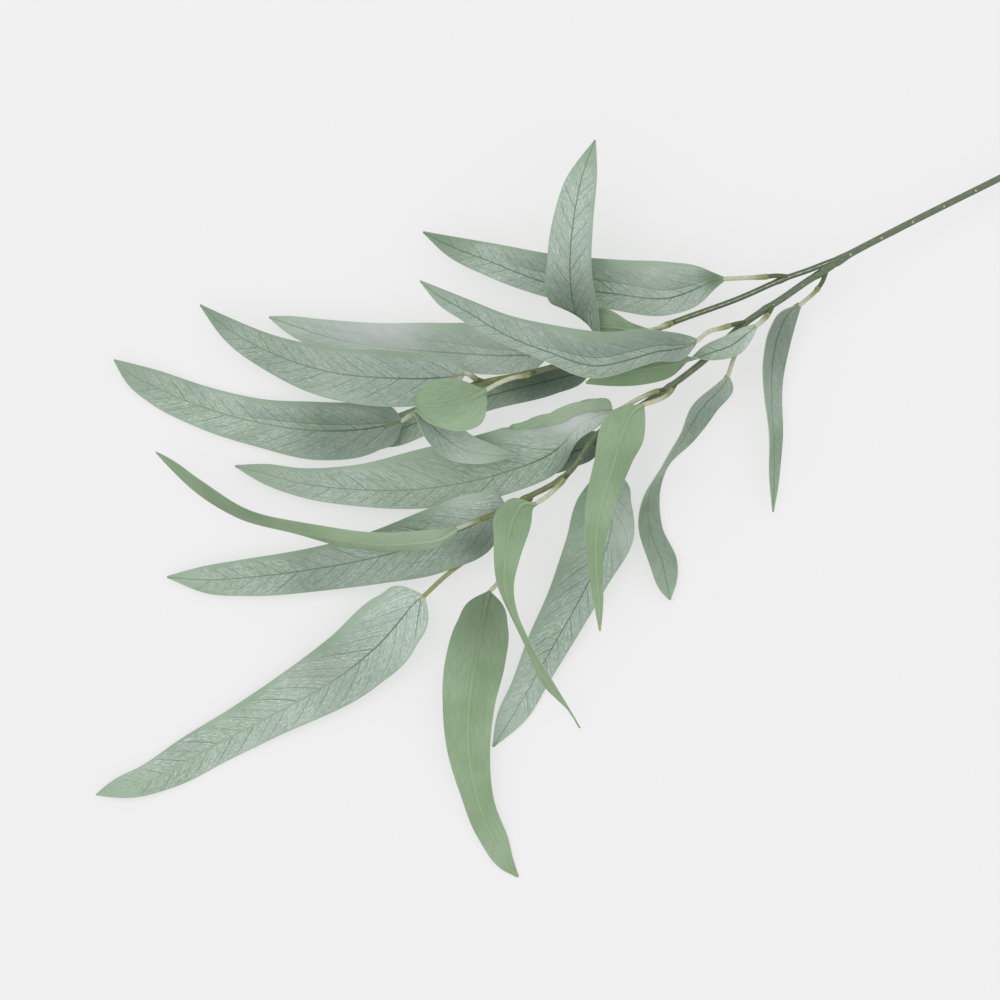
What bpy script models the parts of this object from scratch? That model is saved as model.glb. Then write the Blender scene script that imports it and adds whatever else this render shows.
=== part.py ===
# A cut willow branch lying on a table: one bare stem that forks into two leafy branches.
#
# The branch is laid out on a sheet ruled in half millimetres: x runs right and y runs down.
# Heights above the table are in millimetres. The sheet is drawn as an eye high above it sees
# the branch, so a point that stands higher lies a little nearer to the point below the eye
# than its mark on the sheet. A leaf is drawn by its stalk and by its two edges, left and
# right as seen from the stalk with the upper face towards the eye, and both edges end in the
# tip. Where the edges cross, the blade turns over and shows its pale underside.

import math
import random

import bmesh
import bpy
from mathutils import Vector

MM = 0.001
SHEET_SQUARE = 0.5 * MM       # one square of the sheet
SHEET_CENTRE = (682.0, 459.0)  # the middle of the whole branch, in squares
EYE_SQUARE = (500.0, 500.0)   # the point of the sheet right below the eye
EYE_HEIGHT = 4.0              # metres above the table

SEAT_GAP = 0.35 * MM          # between a stalk and the branch that it grows from
STALK_WIDTH = 2.3 * MM
STALK_DEPTH = 2.1 * MM
STALK_EDGE_SHARE = 0.5        # a stalk is thinner at its sides, which rounds it
STALK_RUNS_INTO_BLADE = 0.07  # share of the blade over which the stalk thins down to the midrib
BLADE_THICKNESS = 0.75 * MM
RIB_THICKNESS = 1.5 * MM      # at the foot of the midrib, thinning out to the tip
RIB_SHARE = 0.5               # how far the thicker rib reaches towards each edge
CHANNEL_SHARE = 0.08          # depth of the channel along the midrib, as a share of the width
CHANNEL_ROUNDNESS = 1.5
WAVE_HEIGHT = 0.5 * MM        # of the waved edges
WAVES_PER_BLADE = (2.0, 3.2)
PRESSED_FLAT = 0.06 * MM      # what lies this close to the table touches it
SMOOTH_UP_TO = 50             # degrees: a steeper edge between two faces is drawn sharp
WAVE_SEED = 7

STALK_ROWS = 6
SHORTER_AT_SEAT = 1.5         # a stalk's rows start close together, where it turns away from the stem
BLADE_ROWS = 18
COLUMNS = 4
CLOSER_AT_ENDS = 0.11         # how far rows are drawn towards both ends of a blade
TIP_WIDTH = 0.9 * MM

STEM_SIDES_QUARTER = 1        # bevel resolution of the stems
STEM_STEPS = {"main_stem": 9 * MM, "upper_branch": 4 * MM, "lower_branch": 4 * MM}
NODE_SWELLING = 0.22          # how much a branch swells where a stalk leaves it
NODE_REACH = 2.2 * MM

LEAF_GREEN = (0.36, 0.47, 0.38)
STEM_GREEN = (0.12, 0.17, 0.09)

# Each stem is a list of (x, y, height, radius in mm).
STEMS = {
    "main_stem": [(1268, 44, 1.45, 1.65), (1140, 108, 6.4, 1.65), (1000, 178, 11.8, 1.65),
                  (900, 228, 16.2, 1.7), (850, 254, 19.0, 1.8), (832, 264, 20.2, 2.5)],
    "upper_branch": [(829.8, 261.8, 21.0, 1.2), (809, 270, 21.5, 1.25), (786, 278, 22.0, 1.25),
                     (740, 298, 24.0, 1.25), (677, 321, 26.0, 1.25), (600, 352, 27.5, 1.25),
                     (530, 373, 26.0, 1.35), (472, 386, 21.0, 1.5), (430, 404, 16.0, 1.3)],
    "lower_branch": [(832.6, 267.2, 19.6, 1.6), (809, 280, 20.6, 1.7), (786, 296, 22.0, 1.7),
                     (740, 327, 24.5, 1.65), (707, 358, 26.0, 1.6), (675, 383, 27.0, 1.55),
                     (645, 403, 28.0, 1.5), (600, 432, 29.0, 1.5), (565, 476, 29.0, 1.45),
                     (522, 500, 27.0, 1.4), (497, 513, 24.5, 1.3), (482, 519, 23.0, 1.25)],
}

# Each leaf names the stem it grows on, its stalk, and its two edges without the tip.
LEAVES = {
    "leaf_01": dict(
        stem="upper_branch",
        stalk=[(779, 274.5, 25), (763, 277, 25.5), (742, 278, 25), (724, 279, 25)],
        left=[(715, 289, 23), (702, 302, 21), (668, 315, 20), (610, 309, 19), (545, 297, 18),
              (485, 275, 15), (445, 254, 12)],
        right=[(712, 272, 25), (700, 267, 25), (668, 262, 25), (620, 260, 24), (558, 255, 22),
               (497, 244, 18), (450, 236, 14)],
        tip=(423, 232, 12)),
    "leaf_02": dict(
        stem="upper_branch",
        stalk=[(668, 325, 30), (658, 328, 31), (648, 331, 31)],
        left=[(630, 322, 31), (606, 309, 30), (578, 308, 30), (554, 308, 33), (546, 292, 36),
              (547, 259, 39), (554, 215, 42), (568, 175, 45)],
        right=[(630, 339, 31), (612, 347, 32), (606, 348, 33), (601, 338, 36), (599, 318, 38),
               (592, 275, 41), (593, 222, 44), (597, 175, 46)],
        tip=(595, 140, 47)),
    "leaf_03": dict(
        stem="lower_branch",
        stalk=[(737, 323, 29), (722, 328, 34), (708, 332, 38), (697, 341, 40)],
        left=[(689, 354, 40), (655, 362, 42), (592, 378, 43), (545, 361, 44), (500, 343, 43),
              (460, 319, 41), (438, 304, 40)],
        right=[(690, 336, 41), (652, 330, 45), (600, 332, 48), (548, 324, 48), (508, 315, 46),
               (470, 300, 43), (440, 288, 40)],
        tip=(420, 281, 38)),
    "leaf_04": dict(
        stem="lower_branch",
        stalk=[(824, 283, 19), (813, 294, 18), (806, 300, 17), (800, 305, 17)],
        left=[(799, 313, 14), (792, 336, 11), (786, 364, 9), (782, 400, 8), (782, 441, 7),
              (779, 482, 6)],
        right=[(784, 310, 20), (770, 328, 23), (764, 357, 23), (765, 400, 21), (769, 441, 17),
               (770, 482, 11)],
        tip=(773, 512, 5)),
    "leaf_05": dict(
        stem="upper_branch",
        stalk=[(562, 362, 24), (554, 358, 23), (546, 357, 22)],
        left=[(538, 367, 20), (505, 374, 16), (440, 370, 12), (370, 362, 9), (312, 347, 8),
              (283, 330, 8)],
        right=[(532, 344, 21), (495, 327, 18), (440, 323, 14), (375, 323, 12), (318, 319, 10),
               (288, 316, 9)],
        tip=(269, 317, 8)),
    "leaf_06": dict(
        stem="upper_branch",
        stalk=[(474, 379, 24.5), (470, 375, 26), (465, 373, 25.5)],
        left=[(456, 389, 25), (434, 401, 22.5), (390, 407, 18.5), (320, 396, 15), (268, 372, 12),
              (222, 337, 10)],
        right=[(458, 363, 27), (435, 356, 26), (385, 350, 22), (335, 348, 19), (280, 337, 15),
               (228, 317, 12)],
        tip=(200, 305, 10)),
    "leaf_07": dict(
        stem="upper_branch",
        stalk=[(420, 409, 14.9), (411, 415, 14), (402, 421, 13.5)],
        left=[(398, 436, 12), (377, 451, 10), (320, 460, 6), (254, 446, 2.5), (197, 427, 1.5),
              (150, 403, 2), (126, 382, 3)],
        right=[(395, 410, 13), (370, 405, 12), (319, 402, 8), (262, 399, 3), (205, 386, 2),
               (160, 371, 3), (130, 363, 4)],
        tip=(114, 360, 5)),
    "leaf_08": dict(
        stem="upper_branch",
        stalk=[(599, 360, 24), (596, 366, 22), (590, 371, 21)],
        left=[(583, 382, 18), (555, 394, 14), (488, 411, 10), (430, 434, 7), (385, 447, 4)],
        right=[(578, 364, 18), (548, 366, 14), (482, 384, 11), (420, 405, 8), (378, 422, 5)],
        tip=(352, 436, 2.5)),
    "leaf_09": dict(
        stem="upper_branch",
        stalk=[(527, 376, 31.5), (512, 378, 34.5), (497, 384, 35), (485, 391, 36)],
        left=[(474, 385, 36), (456, 379, 36), (436, 380, 34), (421, 389, 31), (415, 398, 27),
              (422, 404, 24.5), (436, 412, 23), (453, 422, 22), (470, 434, 22), (492, 444, 22)],
        right=[(487, 403, 38), (483, 421, 41), (462, 431, 43), (440, 427, 44), (424, 419, 44),
               (416, 411, 41), (421, 427, 37), (429, 443, 32), (447, 459, 28), (480, 464, 25)],
        tip=(517, 456, 23)),
    "leaf_10": dict(
        stem="lower_branch",
        stalk=[(770, 314, 26), (762, 321, 28.5), (756, 326, 30)],
        left=[(752, 339, 30), (740, 354, 30), (714, 360, 33), (692, 358, 37), (668, 352, 36),
              (635, 354, 36), (605, 366, 35)],
        right=[(744, 327, 32), (725, 336, 32), (702, 347, 31.5), (688, 361, 31), (674, 375, 31),
               (645, 384, 32), (612, 386, 32)],
        tip=(586, 383, 33)),
    "leaf_11": dict(
        stem="lower_branch",
        stalk=[(744, 333, 21.5), (737, 350, 21), (731, 366, 21), (728, 376, 21)],
        left=[(733, 386, 17), (716, 412, 13), (692, 442, 11), (668, 468, 8), (659, 492, 6),
              (662, 525, 4), (677, 562, 3), (676, 584, 3)],
        right=[(717, 384, 26), (692, 406, 28), (679, 437, 27), (662, 467, 24), (645, 492, 20),
               (639, 524, 16), (650, 566, 10), (660, 590, 6)],
        tip=(670, 600, 4)),
    "leaf_12": dict(
        stem="lower_branch",
        stalk=[(657, 390, 31.5), (640, 398, 31.5), (622, 408, 30), (607, 416, 29)],
        left=[(601, 424, 27), (580, 439, 24), (560, 470, 19), (510, 493, 15), (430, 508, 10),
              (358, 506, 7), (300, 497, 5), (262, 483, 5)],
        right=[(610, 403, 28), (590, 400, 26), (545, 413, 22), (492, 431, 17), (420, 449, 12),
               (355, 465, 9), (300, 468, 7), (265, 464, 6)],
        tip=(235, 466, 5)),
    "leaf_13": dict(
        stem="lower_branch",
        stalk=[(672, 391, 28), (664, 397, 31), (652, 402, 33), (642, 405, 34)],
        left=[(622, 407, 36), (603, 422, 39), (594, 462, 41), (587, 496, 40), (585, 530, 38),
              (588, 566, 35), (594, 604, 31)],
        right=[(645, 414, 34), (644, 437, 35), (632, 463, 35), (617, 500, 34), (606, 537, 33),
               (603, 570, 31), (603, 603, 29)],
        tip=(600, 631, 27)),
    "leaf_14": dict(
        stem="lower_branch",
        stalk=[(618, 428, 25), (613, 433, 23), (607, 437, 22)],
        left=[(597, 455, 18), (575, 467, 14), (520, 482, 9), (470, 490, 6)],
        right=[(594, 431, 20), (565, 440, 16), (510, 453, 10), (465, 468, 7)],
        tip=(430, 484, 5)),
    "leaf_15": dict(
        stem="lower_branch",
        stalk=[(562, 482, 33.5), (556, 488, 35), (546, 497, 37), (535, 504, 38)],
        left=[(515, 498, 38), (498, 509, 38), (494, 542, 36), (497, 581, 32), (510, 614, 28),
              (524, 645, 24), (547, 689, 19), (563, 706, 17)],
        right=[(533, 509, 38), (531, 524, 38), (521, 555, 38), (514, 588, 36), (518, 617, 33),
               (529, 641, 30), (553, 681, 24), (566, 703, 18.5)],
        tip=(580, 728, 15)),
    "leaf_16": dict(
        stem="lower_branch",
        stalk=[(474, 522, 22.4), (466, 525, 23.5), (456, 529, 25.5)],
        left=[(440, 529, 30), (405, 532, 34), (345, 530, 34), (290, 520, 31), (240, 506, 28),
              (200, 480, 24), (174, 461, 20)],
        right=[(440, 545, 21), (405, 551, 18), (345, 546, 17), (290, 533, 16), (238, 517, 15),
               (195, 492, 15), (171, 469, 15)],
        tip=(156, 452, 17)),
    "leaf_17": dict(
        stem="lower_branch",
        stalk=[(510, 510, 22), (509, 510, 21), (507, 509, 20.3)],
        left=[(505, 522, 18), (494, 545, 16), (446, 571, 13), (385, 583, 10), (310, 592, 6),
              (250, 596, 4), (205, 593, 3)],
        right=[(499, 494, 19), (476, 493, 18), (430, 508, 17), (370, 532, 14), (305, 549, 9),
               (240, 560, 6), (200, 567, 4)],
        tip=(167, 577, 3)),
    "leaf_18": dict(
        stem="lower_branch",
        stalk=[(520, 507, 21), (516, 517, 14), (508, 530, 9.5), (490, 544, 8), (470, 558, 9),
               (449, 573, 12), (424, 596, 15)],
        left=[(428, 612, 15), (413, 644, 13), (371, 687, 8), (274, 738, 3), (225, 762, 1.5),
              (177, 786, 1.5), (128, 798, 3)],
        right=[(408, 588, 15), (378, 596, 14), (329, 638, 10), (228, 710, 4), (182, 738, 2),
               (143, 765, 2.5), (112, 781, 3.5)],
        tip=(96, 795, 4)),
    "leaf_19": dict(
        stem="lower_branch",
        stalk=[(528, 503, 22), (526, 515, 17.5), (516, 545, 15), (505, 572, 16.5), (497, 584, 18),
               (489, 592, 19)],
        left=[(474, 598, 19), (457, 622, 18), (445, 662, 16), (443, 712, 13), (448, 754, 9),
              (460, 793, 6), (477, 836, 2.5), (500, 868, 1.2)],
        right=[(500, 601, 19), (508, 628, 18), (505, 664, 16), (494, 710, 13), (490, 757, 9),
               (494, 800, 6), (508, 838, 2.5), (514, 862, 1.2)],
        tip=(518, 877, 0.5)),
    "leaf_20": dict(
        stem="lower_branch",
        stalk=[(597, 450, 25), (603, 458, 23), (611, 467, 21)],
        left=[(625, 480, 20), (631, 502, 17), (633, 540, 13), (606, 588, 9), (576, 638, 6),
              (550, 681, 2.5), (525, 721, 1)],
        right=[(600, 472, 20), (580, 495, 18), (566, 540, 15), (549, 590, 11), (528, 638, 7),
               (512, 682, 3.5), (497, 716, 2)],
        tip=(493, 747, 1)),
}


def place(point):
    """A point of the sheet, with its height, as a position in metres."""
    x, y, height = point[:3]
    nearer = 1 - height * MM / EYE_HEIGHT
    x = EYE_SQUARE[0] + (x - EYE_SQUARE[0]) * nearer - SHEET_CENTRE[0]
    y = EYE_SQUARE[1] + (y - EYE_SQUARE[1]) * nearer - SHEET_CENTRE[1]
    return Vector((x * SHEET_SQUARE, -y * SHEET_SQUARE, height * MM))


def lengths_along(points):
    """The distance from the first point to each point, along the straight lines between them."""
    totals = [0.0]
    for first, second in zip(points, points[1:]):
        totals.append(totals[-1] + (second - first).length)
    return totals


def read_curve(values, knots, at):
    """A smooth curve through the values, read at one place between the first knot and the last."""
    last = len(knots) - 1
    i = max(j for j in range(last) if knots[j] <= at or j == 0)

    def slope(j):
        before, after = max(j - 1, 0), min(j + 1, last)
        whole = (values[after] - values[before]) / (knots[after] - knots[before])
        if before == j or after == j:
            return whole
        first = (values[j] - values[before]) / (knots[j] - knots[before])
        second = (values[after] - values[j]) / (knots[after] - knots[j])
        return first + second - whole

    step = knots[i + 1] - knots[i]
    t = (at - knots[i]) / step
    return (values[i] * (2 * t**3 - 3 * t**2 + 1) + slope(i) * step * (t**3 - 2 * t**2 + t)
            + values[i + 1] * (3 * t**2 - 2 * t**3) + slope(i + 1) * step * (t**3 - t**2))


def material(name, colour, roughness):
    made = bpy.data.materials.new(name)
    made.use_nodes = True
    shader = made.node_tree.nodes["Principled BSDF"]
    shader.inputs["Base Color"].default_value = (*colour, 1.0)
    shader.inputs["Roughness"].default_value = roughness
    shader.inputs["Metallic"].default_value = 0.0
    return made


def stem_line(name):
    """The stem's points and radii, at even steps along a smooth curve."""
    rows = STEMS[name]
    points = [place(row) for row in rows]
    radii = [row[3] * MM for row in rows]
    knots = lengths_along(points)
    count = round(knots[-1] / STEM_STEPS[name])
    places = [knots[-1] * i / count for i in range(count + 1)]
    line = [read_curve(points, knots, at) for at in places]
    return line, [read_curve(radii, knots, at) for at in places]


def seat_on(stem, towards):
    """Where a stalk that runs towards a point starts: just off the skin of the stem, or off its end."""
    points, radii = stem
    nearest = None
    for i in range(len(points) - 1):
        line = points[i + 1] - points[i]
        share = min(max((towards - points[i]).dot(line) / line.length_squared, 0.0), 1.0)
        foot = points[i] + line * share
        if nearest is None or (towards - foot).length < nearest[0]:
            nearest = ((towards - foot).length, foot, i, share)
    _, foot, i, share = nearest
    at_end = i == len(points) - 2 and share == 1.0
    radius = 0.0 if at_end else radii[i] * (1 - share) + radii[i + 1] * share
    swollen = radius * (1 + NODE_SWELLING)
    return foot, foot + (towards - foot).normalized() * (swollen + SEAT_GAP)


def swell(stem, feet):
    """The stem's radii with a low swelling at each foot of a stalk."""
    points, radii = stem
    swollen = []
    for point, radius in zip(points, radii):
        nearest = min(((point - foot).length for foot in feet), default=1.0)
        swollen.append(radius * (1 + NODE_SWELLING * math.exp(-((nearest / NODE_REACH) ** 2))))
    return swollen


def add_stem(name, stem, feet, finish, collection):
    """A tube through the stem's points, with a radius at each of them and closed ends."""
    curve = bpy.data.curves.new(name, "CURVE")
    curve.dimensions = "3D"
    curve.bevel_depth = 1.0
    curve.bevel_resolution = STEM_SIDES_QUARTER
    curve.use_fill_caps = True
    curve.twist_mode = "Z_UP"
    spline = curve.splines.new("POLY")
    points = stem[0]
    spline.points.add(len(points) - 1)
    for target, point, radius in zip(spline.points, points, swell(stem, feet)):
        target.co = (*point, 1.0)
        target.radius = radius
    curve.materials.append(finish)
    made = bpy.data.objects.new(name, curve)
    collection.objects.link(made)
    return made


def leaf_sections(leaf, start):
    """The rows of a leaf from the stalk's start to the tip, as (left, right, along).

    Along is the row's place on the blade, from 0 at its foot to 1 at the tip, and None on the stalk.
    """
    path = [start] + [place(point) for point in leaf["stalk"]]
    tip = place(leaf["tip"])
    foot = path[-1]
    left_points = [place(point) for point in leaf["left"]]
    right_points = [place(point) for point in leaf["right"]]
    side = (right_points[0] - left_points[0]).normalized() * (STALK_WIDTH / 2)

    rows = []
    knots = lengths_along(path)
    for i in range(STALK_ROWS):
        at = knots[-1] * (i / STALK_ROWS) ** SHORTER_AT_SEAT
        ahead = read_curve(path, knots, min(at + MM, knots[-1])) - read_curve(path, knots, max(at - MM, 0.0))
        across = (side - ahead * side.dot(ahead) / ahead.length_squared).normalized() * (STALK_WIDTH / 2)
        centre = read_curve(path, knots, at)
        rows.append((centre - across, centre + across, None))

    end = (right_points[-1] - left_points[-1]).normalized() * (TIP_WIDTH / 2)
    lefts = [foot - side] + left_points + [tip - end]
    rights = [foot + side] + right_points + [tip + end]
    knots = lengths_along([(a + b) / 2 for a, b in zip(lefts, rights)])
    for i in range(BLADE_ROWS):
        share = i / (BLADE_ROWS - 1)
        along = share - CLOSER_AT_ENDS * math.sin(2 * math.pi * share)
        at = knots[-1] * along
        rows.append((read_curve(lefts, knots, at), read_curve(rights, knots, at), along))
    return rows


def leaf_point(row, ahead, across, wave):
    """A point of the leaf's middle surface, with its thickness. Across runs from -1 at the left to 1."""
    left, right, along = row
    point = (left + right) / 2 + (right - left) * (across / 2)
    if along is None:
        edge = STALK_EDGE_SHARE if abs(across) == 1 else 1.0
        return point, STALK_DEPTH * edge
    up = (right - left).cross(ahead).normalized()
    rise = WAVE_HEIGHT * across**2 * math.sin(math.pi * along) * math.sin(wave[0] * along + wave[1] * across)
    channel = (right - left).length * CHANNEL_SHARE * (1 - abs(across) ** CHANNEL_ROUNDNESS)
    point += up * (rise - channel)
    rib = max(0.0, 1 - abs(across) / RIB_SHARE)
    stalk = max(0.0, 1 - along / STALK_RUNS_INTO_BLADE) * (1 - abs(across) * STALK_EDGE_SHARE)
    thickness = BLADE_THICKNESS + (RIB_THICKNESS - BLADE_THICKNESS) * rib * (1 - along)
    thickness += (STALK_DEPTH - RIB_THICKNESS) * stalk
    point.z = max(point.z, thickness / 2)
    return point, thickness


def add_leaf(name, leaf, start, finish, collection, draw):
    """A grid bent into the leaf, thickened by its vertex weights and laid flat where it meets the table."""
    rows = leaf_sections(leaf, start)
    wave = (2 * math.pi * draw.uniform(*WAVES_PER_BLADE), draw.uniform(-math.pi, math.pi))
    bpy.ops.mesh.primitive_grid_add(x_subdivisions=len(rows) - 1, y_subdivisions=COLUMNS, size=2)
    made = bpy.context.object
    made.name = name
    thick = made.vertex_groups.new(name="thickness")
    middles = [(left + right) / 2 for left, right, _ in rows]
    for vertex in made.data.vertices:
        i = round((vertex.co.x + 1) / 2 * (len(rows) - 1))
        ahead = middles[min(i + 1, len(rows) - 1)] - middles[max(i - 1, 0)]
        point, thickness = leaf_point(rows[i], ahead, vertex.co.y, wave)
        vertex.co = point
        thick.add([vertex.index], thickness / STALK_DEPTH, "REPLACE")

    sheet = bmesh.new()
    sheet.from_mesh(made.data)
    bmesh.ops.triangulate(sheet, faces=sheet.faces)
    sheet.to_mesh(made.data)
    sheet.free()

    shell = made.modifiers.new("Thickness", "SOLIDIFY")
    shell.thickness = STALK_DEPTH
    shell.offset = 0
    shell.vertex_group = thick.name
    solid = bpy.data.meshes.new_from_object(made.evaluated_get(bpy.context.evaluated_depsgraph_get()))
    made.modifiers.clear()
    made.data = solid
    for vertex in solid.vertices:
        if vertex.co.z < PRESSED_FLAT:
            vertex.co.z = 0.0
    solid.name = name
    solid.shade_smooth()
    solid.set_sharp_from_angle(angle=math.radians(SMOOTH_UP_TO))
    solid.materials.append(finish)
    for owner in made.users_collection:
        owner.objects.unlink(made)
    collection.objects.link(made)
    return made


def main():
    for old in list(bpy.data.objects):
        bpy.data.objects.remove(old)
    collection = bpy.data.collections.new("willow_branch")
    bpy.context.scene.collection.children.link(collection)
    draw = random.Random(WAVE_SEED)

    stems = {name: stem_line(name) for name in STEMS}
    feet = {name: [] for name in STEMS}
    for name, leaf in LEAVES.items():
        foot, start = seat_on(stems[leaf["stem"]], place(leaf["stalk"][0]))
        feet[leaf["stem"]].append(foot)
        finish = material(name, LEAF_GREEN, 0.7)
        add_leaf(name, leaf, start, finish, collection, draw)
    for name, stem in stems.items():
        finish = material(name, STEM_GREEN, 0.6)
        add_stem(name, stem, feet[name], finish, collection)


main()
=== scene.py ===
# %% [markdown]
# # A cut willow branch on a table
#
# The branch is one bare stem that forks into two thin branches with twenty long leaves. The
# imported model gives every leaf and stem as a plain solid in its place. This lesson dresses each
# of them in a finer mesh of the same form, and gives it the finish of the real one: leaves of
# printed cloth with fine veins on a silvery upper side and a plain green underside, and moulded
# stems with rows of pale dots.

# %% Load the frame
import math
import random

import bpy
from mathutils import Matrix, Vector


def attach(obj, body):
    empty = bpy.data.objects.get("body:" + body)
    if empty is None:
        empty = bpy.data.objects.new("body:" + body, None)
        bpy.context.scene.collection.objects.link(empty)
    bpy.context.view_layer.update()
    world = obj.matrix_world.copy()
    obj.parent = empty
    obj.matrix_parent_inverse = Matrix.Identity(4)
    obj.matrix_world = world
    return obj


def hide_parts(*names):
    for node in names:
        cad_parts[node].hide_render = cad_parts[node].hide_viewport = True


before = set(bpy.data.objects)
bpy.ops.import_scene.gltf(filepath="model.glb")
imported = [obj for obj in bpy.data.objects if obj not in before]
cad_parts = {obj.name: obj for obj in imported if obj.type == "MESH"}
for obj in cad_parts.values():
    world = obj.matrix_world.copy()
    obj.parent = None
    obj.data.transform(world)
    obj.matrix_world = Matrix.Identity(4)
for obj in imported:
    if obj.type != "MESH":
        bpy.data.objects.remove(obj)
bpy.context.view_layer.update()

# %% [markdown]
# ## The sheet
#
# The branch was laid out on a sheet ruled in half millimetres, with x to the right and y down,
# as an eye high above the table sees it. A point that stands higher lies a little nearer to the
# point right below the eye. One function turns such a point into metres, so every piece below is
# drawn on the same sheet as its solid.

# %% The sheet and the eye
MM = 0.001
SHEET_SQUARE = 0.5 * MM
SHEET_CENTRE = (682.0, 459.0)
EYE_SQUARE = (500.0, 500.0)
EYE_HEIGHT = 4.0


def place(point):
    """A point of the sheet, with its height in millimetres, as a position in metres."""
    x, y, height = point[:3]
    nearer = 1 - height * MM / EYE_HEIGHT
    x = EYE_SQUARE[0] + (x - EYE_SQUARE[0]) * nearer - SHEET_CENTRE[0]
    y = EYE_SQUARE[1] + (y - EYE_SQUARE[1]) * nearer - SHEET_CENTRE[1]
    return Vector((x * SHEET_SQUARE, -y * SHEET_SQUARE, height * MM))


def lengths_along(points):
    """The distance from the first point to each point, along the straight lines between them."""
    totals = [0.0]
    for first, second in zip(points, points[1:]):
        totals.append(totals[-1] + (second - first).length)
    return totals


def read_curve(values, knots, at):
    """A smooth curve through the values, read at one place between the first knot and the last."""
    last = len(knots) - 1
    i = max(j for j in range(last) if knots[j] <= at or j == 0)

    def slope(j):
        before, after = max(j - 1, 0), min(j + 1, last)
        whole = (values[after] - values[before]) / (knots[after] - knots[before])
        if before == j or after == j:
            return whole
        first = (values[j] - values[before]) / (knots[j] - knots[before])
        second = (values[after] - values[j]) / (knots[after] - knots[j])
        return first + second - whole

    step = knots[i + 1] - knots[i]
    t = (at - knots[i]) / step
    return (values[i] * (2 * t**3 - 3 * t**2 + 1) + slope(i) * step * (t**3 - 2 * t**2 + t)
            + values[i + 1] * (3 * t**2 - 2 * t**3) + slope(i + 1) * step * (t**3 - t**2))


def ramp(value, start, end):
    """0 up to the start, 1 from the end on, and a smooth rise between them."""
    t = min(max((value - start) / (end - start), 0.0), 1.0)
    return t * t * (3 - 2 * t)


print("one square of the sheet is", SHEET_SQUARE / MM, "mm")

# %% [markdown]
# ## The stems' lines
#
# Each stem is a line of points with a radius, close to the solid's: the main stem from its cut
# end to the fork, and the two branches from there. They are read as smooth curves. Here the
# branches start a little deeper, inside the main stem, so that no cut end shows at the fork.

# %% The stems' points
# Each stem is a list of (x, y, height, radius in mm).
STEMS = {
    "main_stem": [(1268, 44, 1.45, 1.65), (1140, 108, 6.4, 1.65), (1000, 178, 11.8, 1.65),
                  (900, 228, 16.2, 1.7), (850, 254, 19.0, 1.8), (832, 264, 20.2, 2.1),
                  (828, 266, 20.4, 1.4)],
    "upper_branch": [(843, 257, 20.2, 1.0), (829.8, 261.8, 21.0, 1.2), (809, 270, 21.5, 1.25),
                     (786, 278, 22.0, 1.25), (740, 298, 24.0, 1.25), (677, 321, 26.0, 1.25),
                     (600, 352, 27.5, 1.25), (530, 373, 26.0, 1.35), (472, 386, 21.0, 1.5),
                     (430, 404, 16.0, 1.3)],
    "lower_branch": [(841, 260, 19.4, 1.1), (832.2, 266.2, 19.6, 1.45), (809, 280, 20.6, 1.7),
                     (786, 296, 22.0, 1.7), (740, 327, 24.5, 1.65), (707, 358, 26.0, 1.6),
                     (675, 383, 27.0, 1.55), (645, 403, 28.0, 1.5), (600, 432, 29.0, 1.5),
                     (565, 476, 29.0, 1.45), (522, 500, 27.0, 1.4), (497, 513, 24.5, 1.3),
                     (482, 519, 23.0, 1.25)],
}
STEM_STEP = 1.2 * MM


def stem_line(name):
    """The stem's points and radii, at even steps along a smooth curve."""
    rows = STEMS[name]
    points = [place(row) for row in rows]
    radii = [row[3] * MM for row in rows]
    knots = lengths_along(points)
    count = round(knots[-1] / STEM_STEP)
    places = [knots[-1] * i / count for i in range(count + 1)]
    line = [read_curve(points, knots, at) for at in places]
    return line, [read_curve(radii, knots, at) for at in places]


stems = {name: stem_line(name) for name in STEMS}
for name, (line, _) in stems.items():
    print(name, "is", round(lengths_along(line)[-1] / MM), "mm long")

# %% [markdown]
# ## The leaves' outlines
#
# A leaf is drawn by its stalk and its two edges, left and right as seen from the stalk with the
# upper face towards the eye. Where the edges cross, the blade turns over and shows its
# underside.

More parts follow.
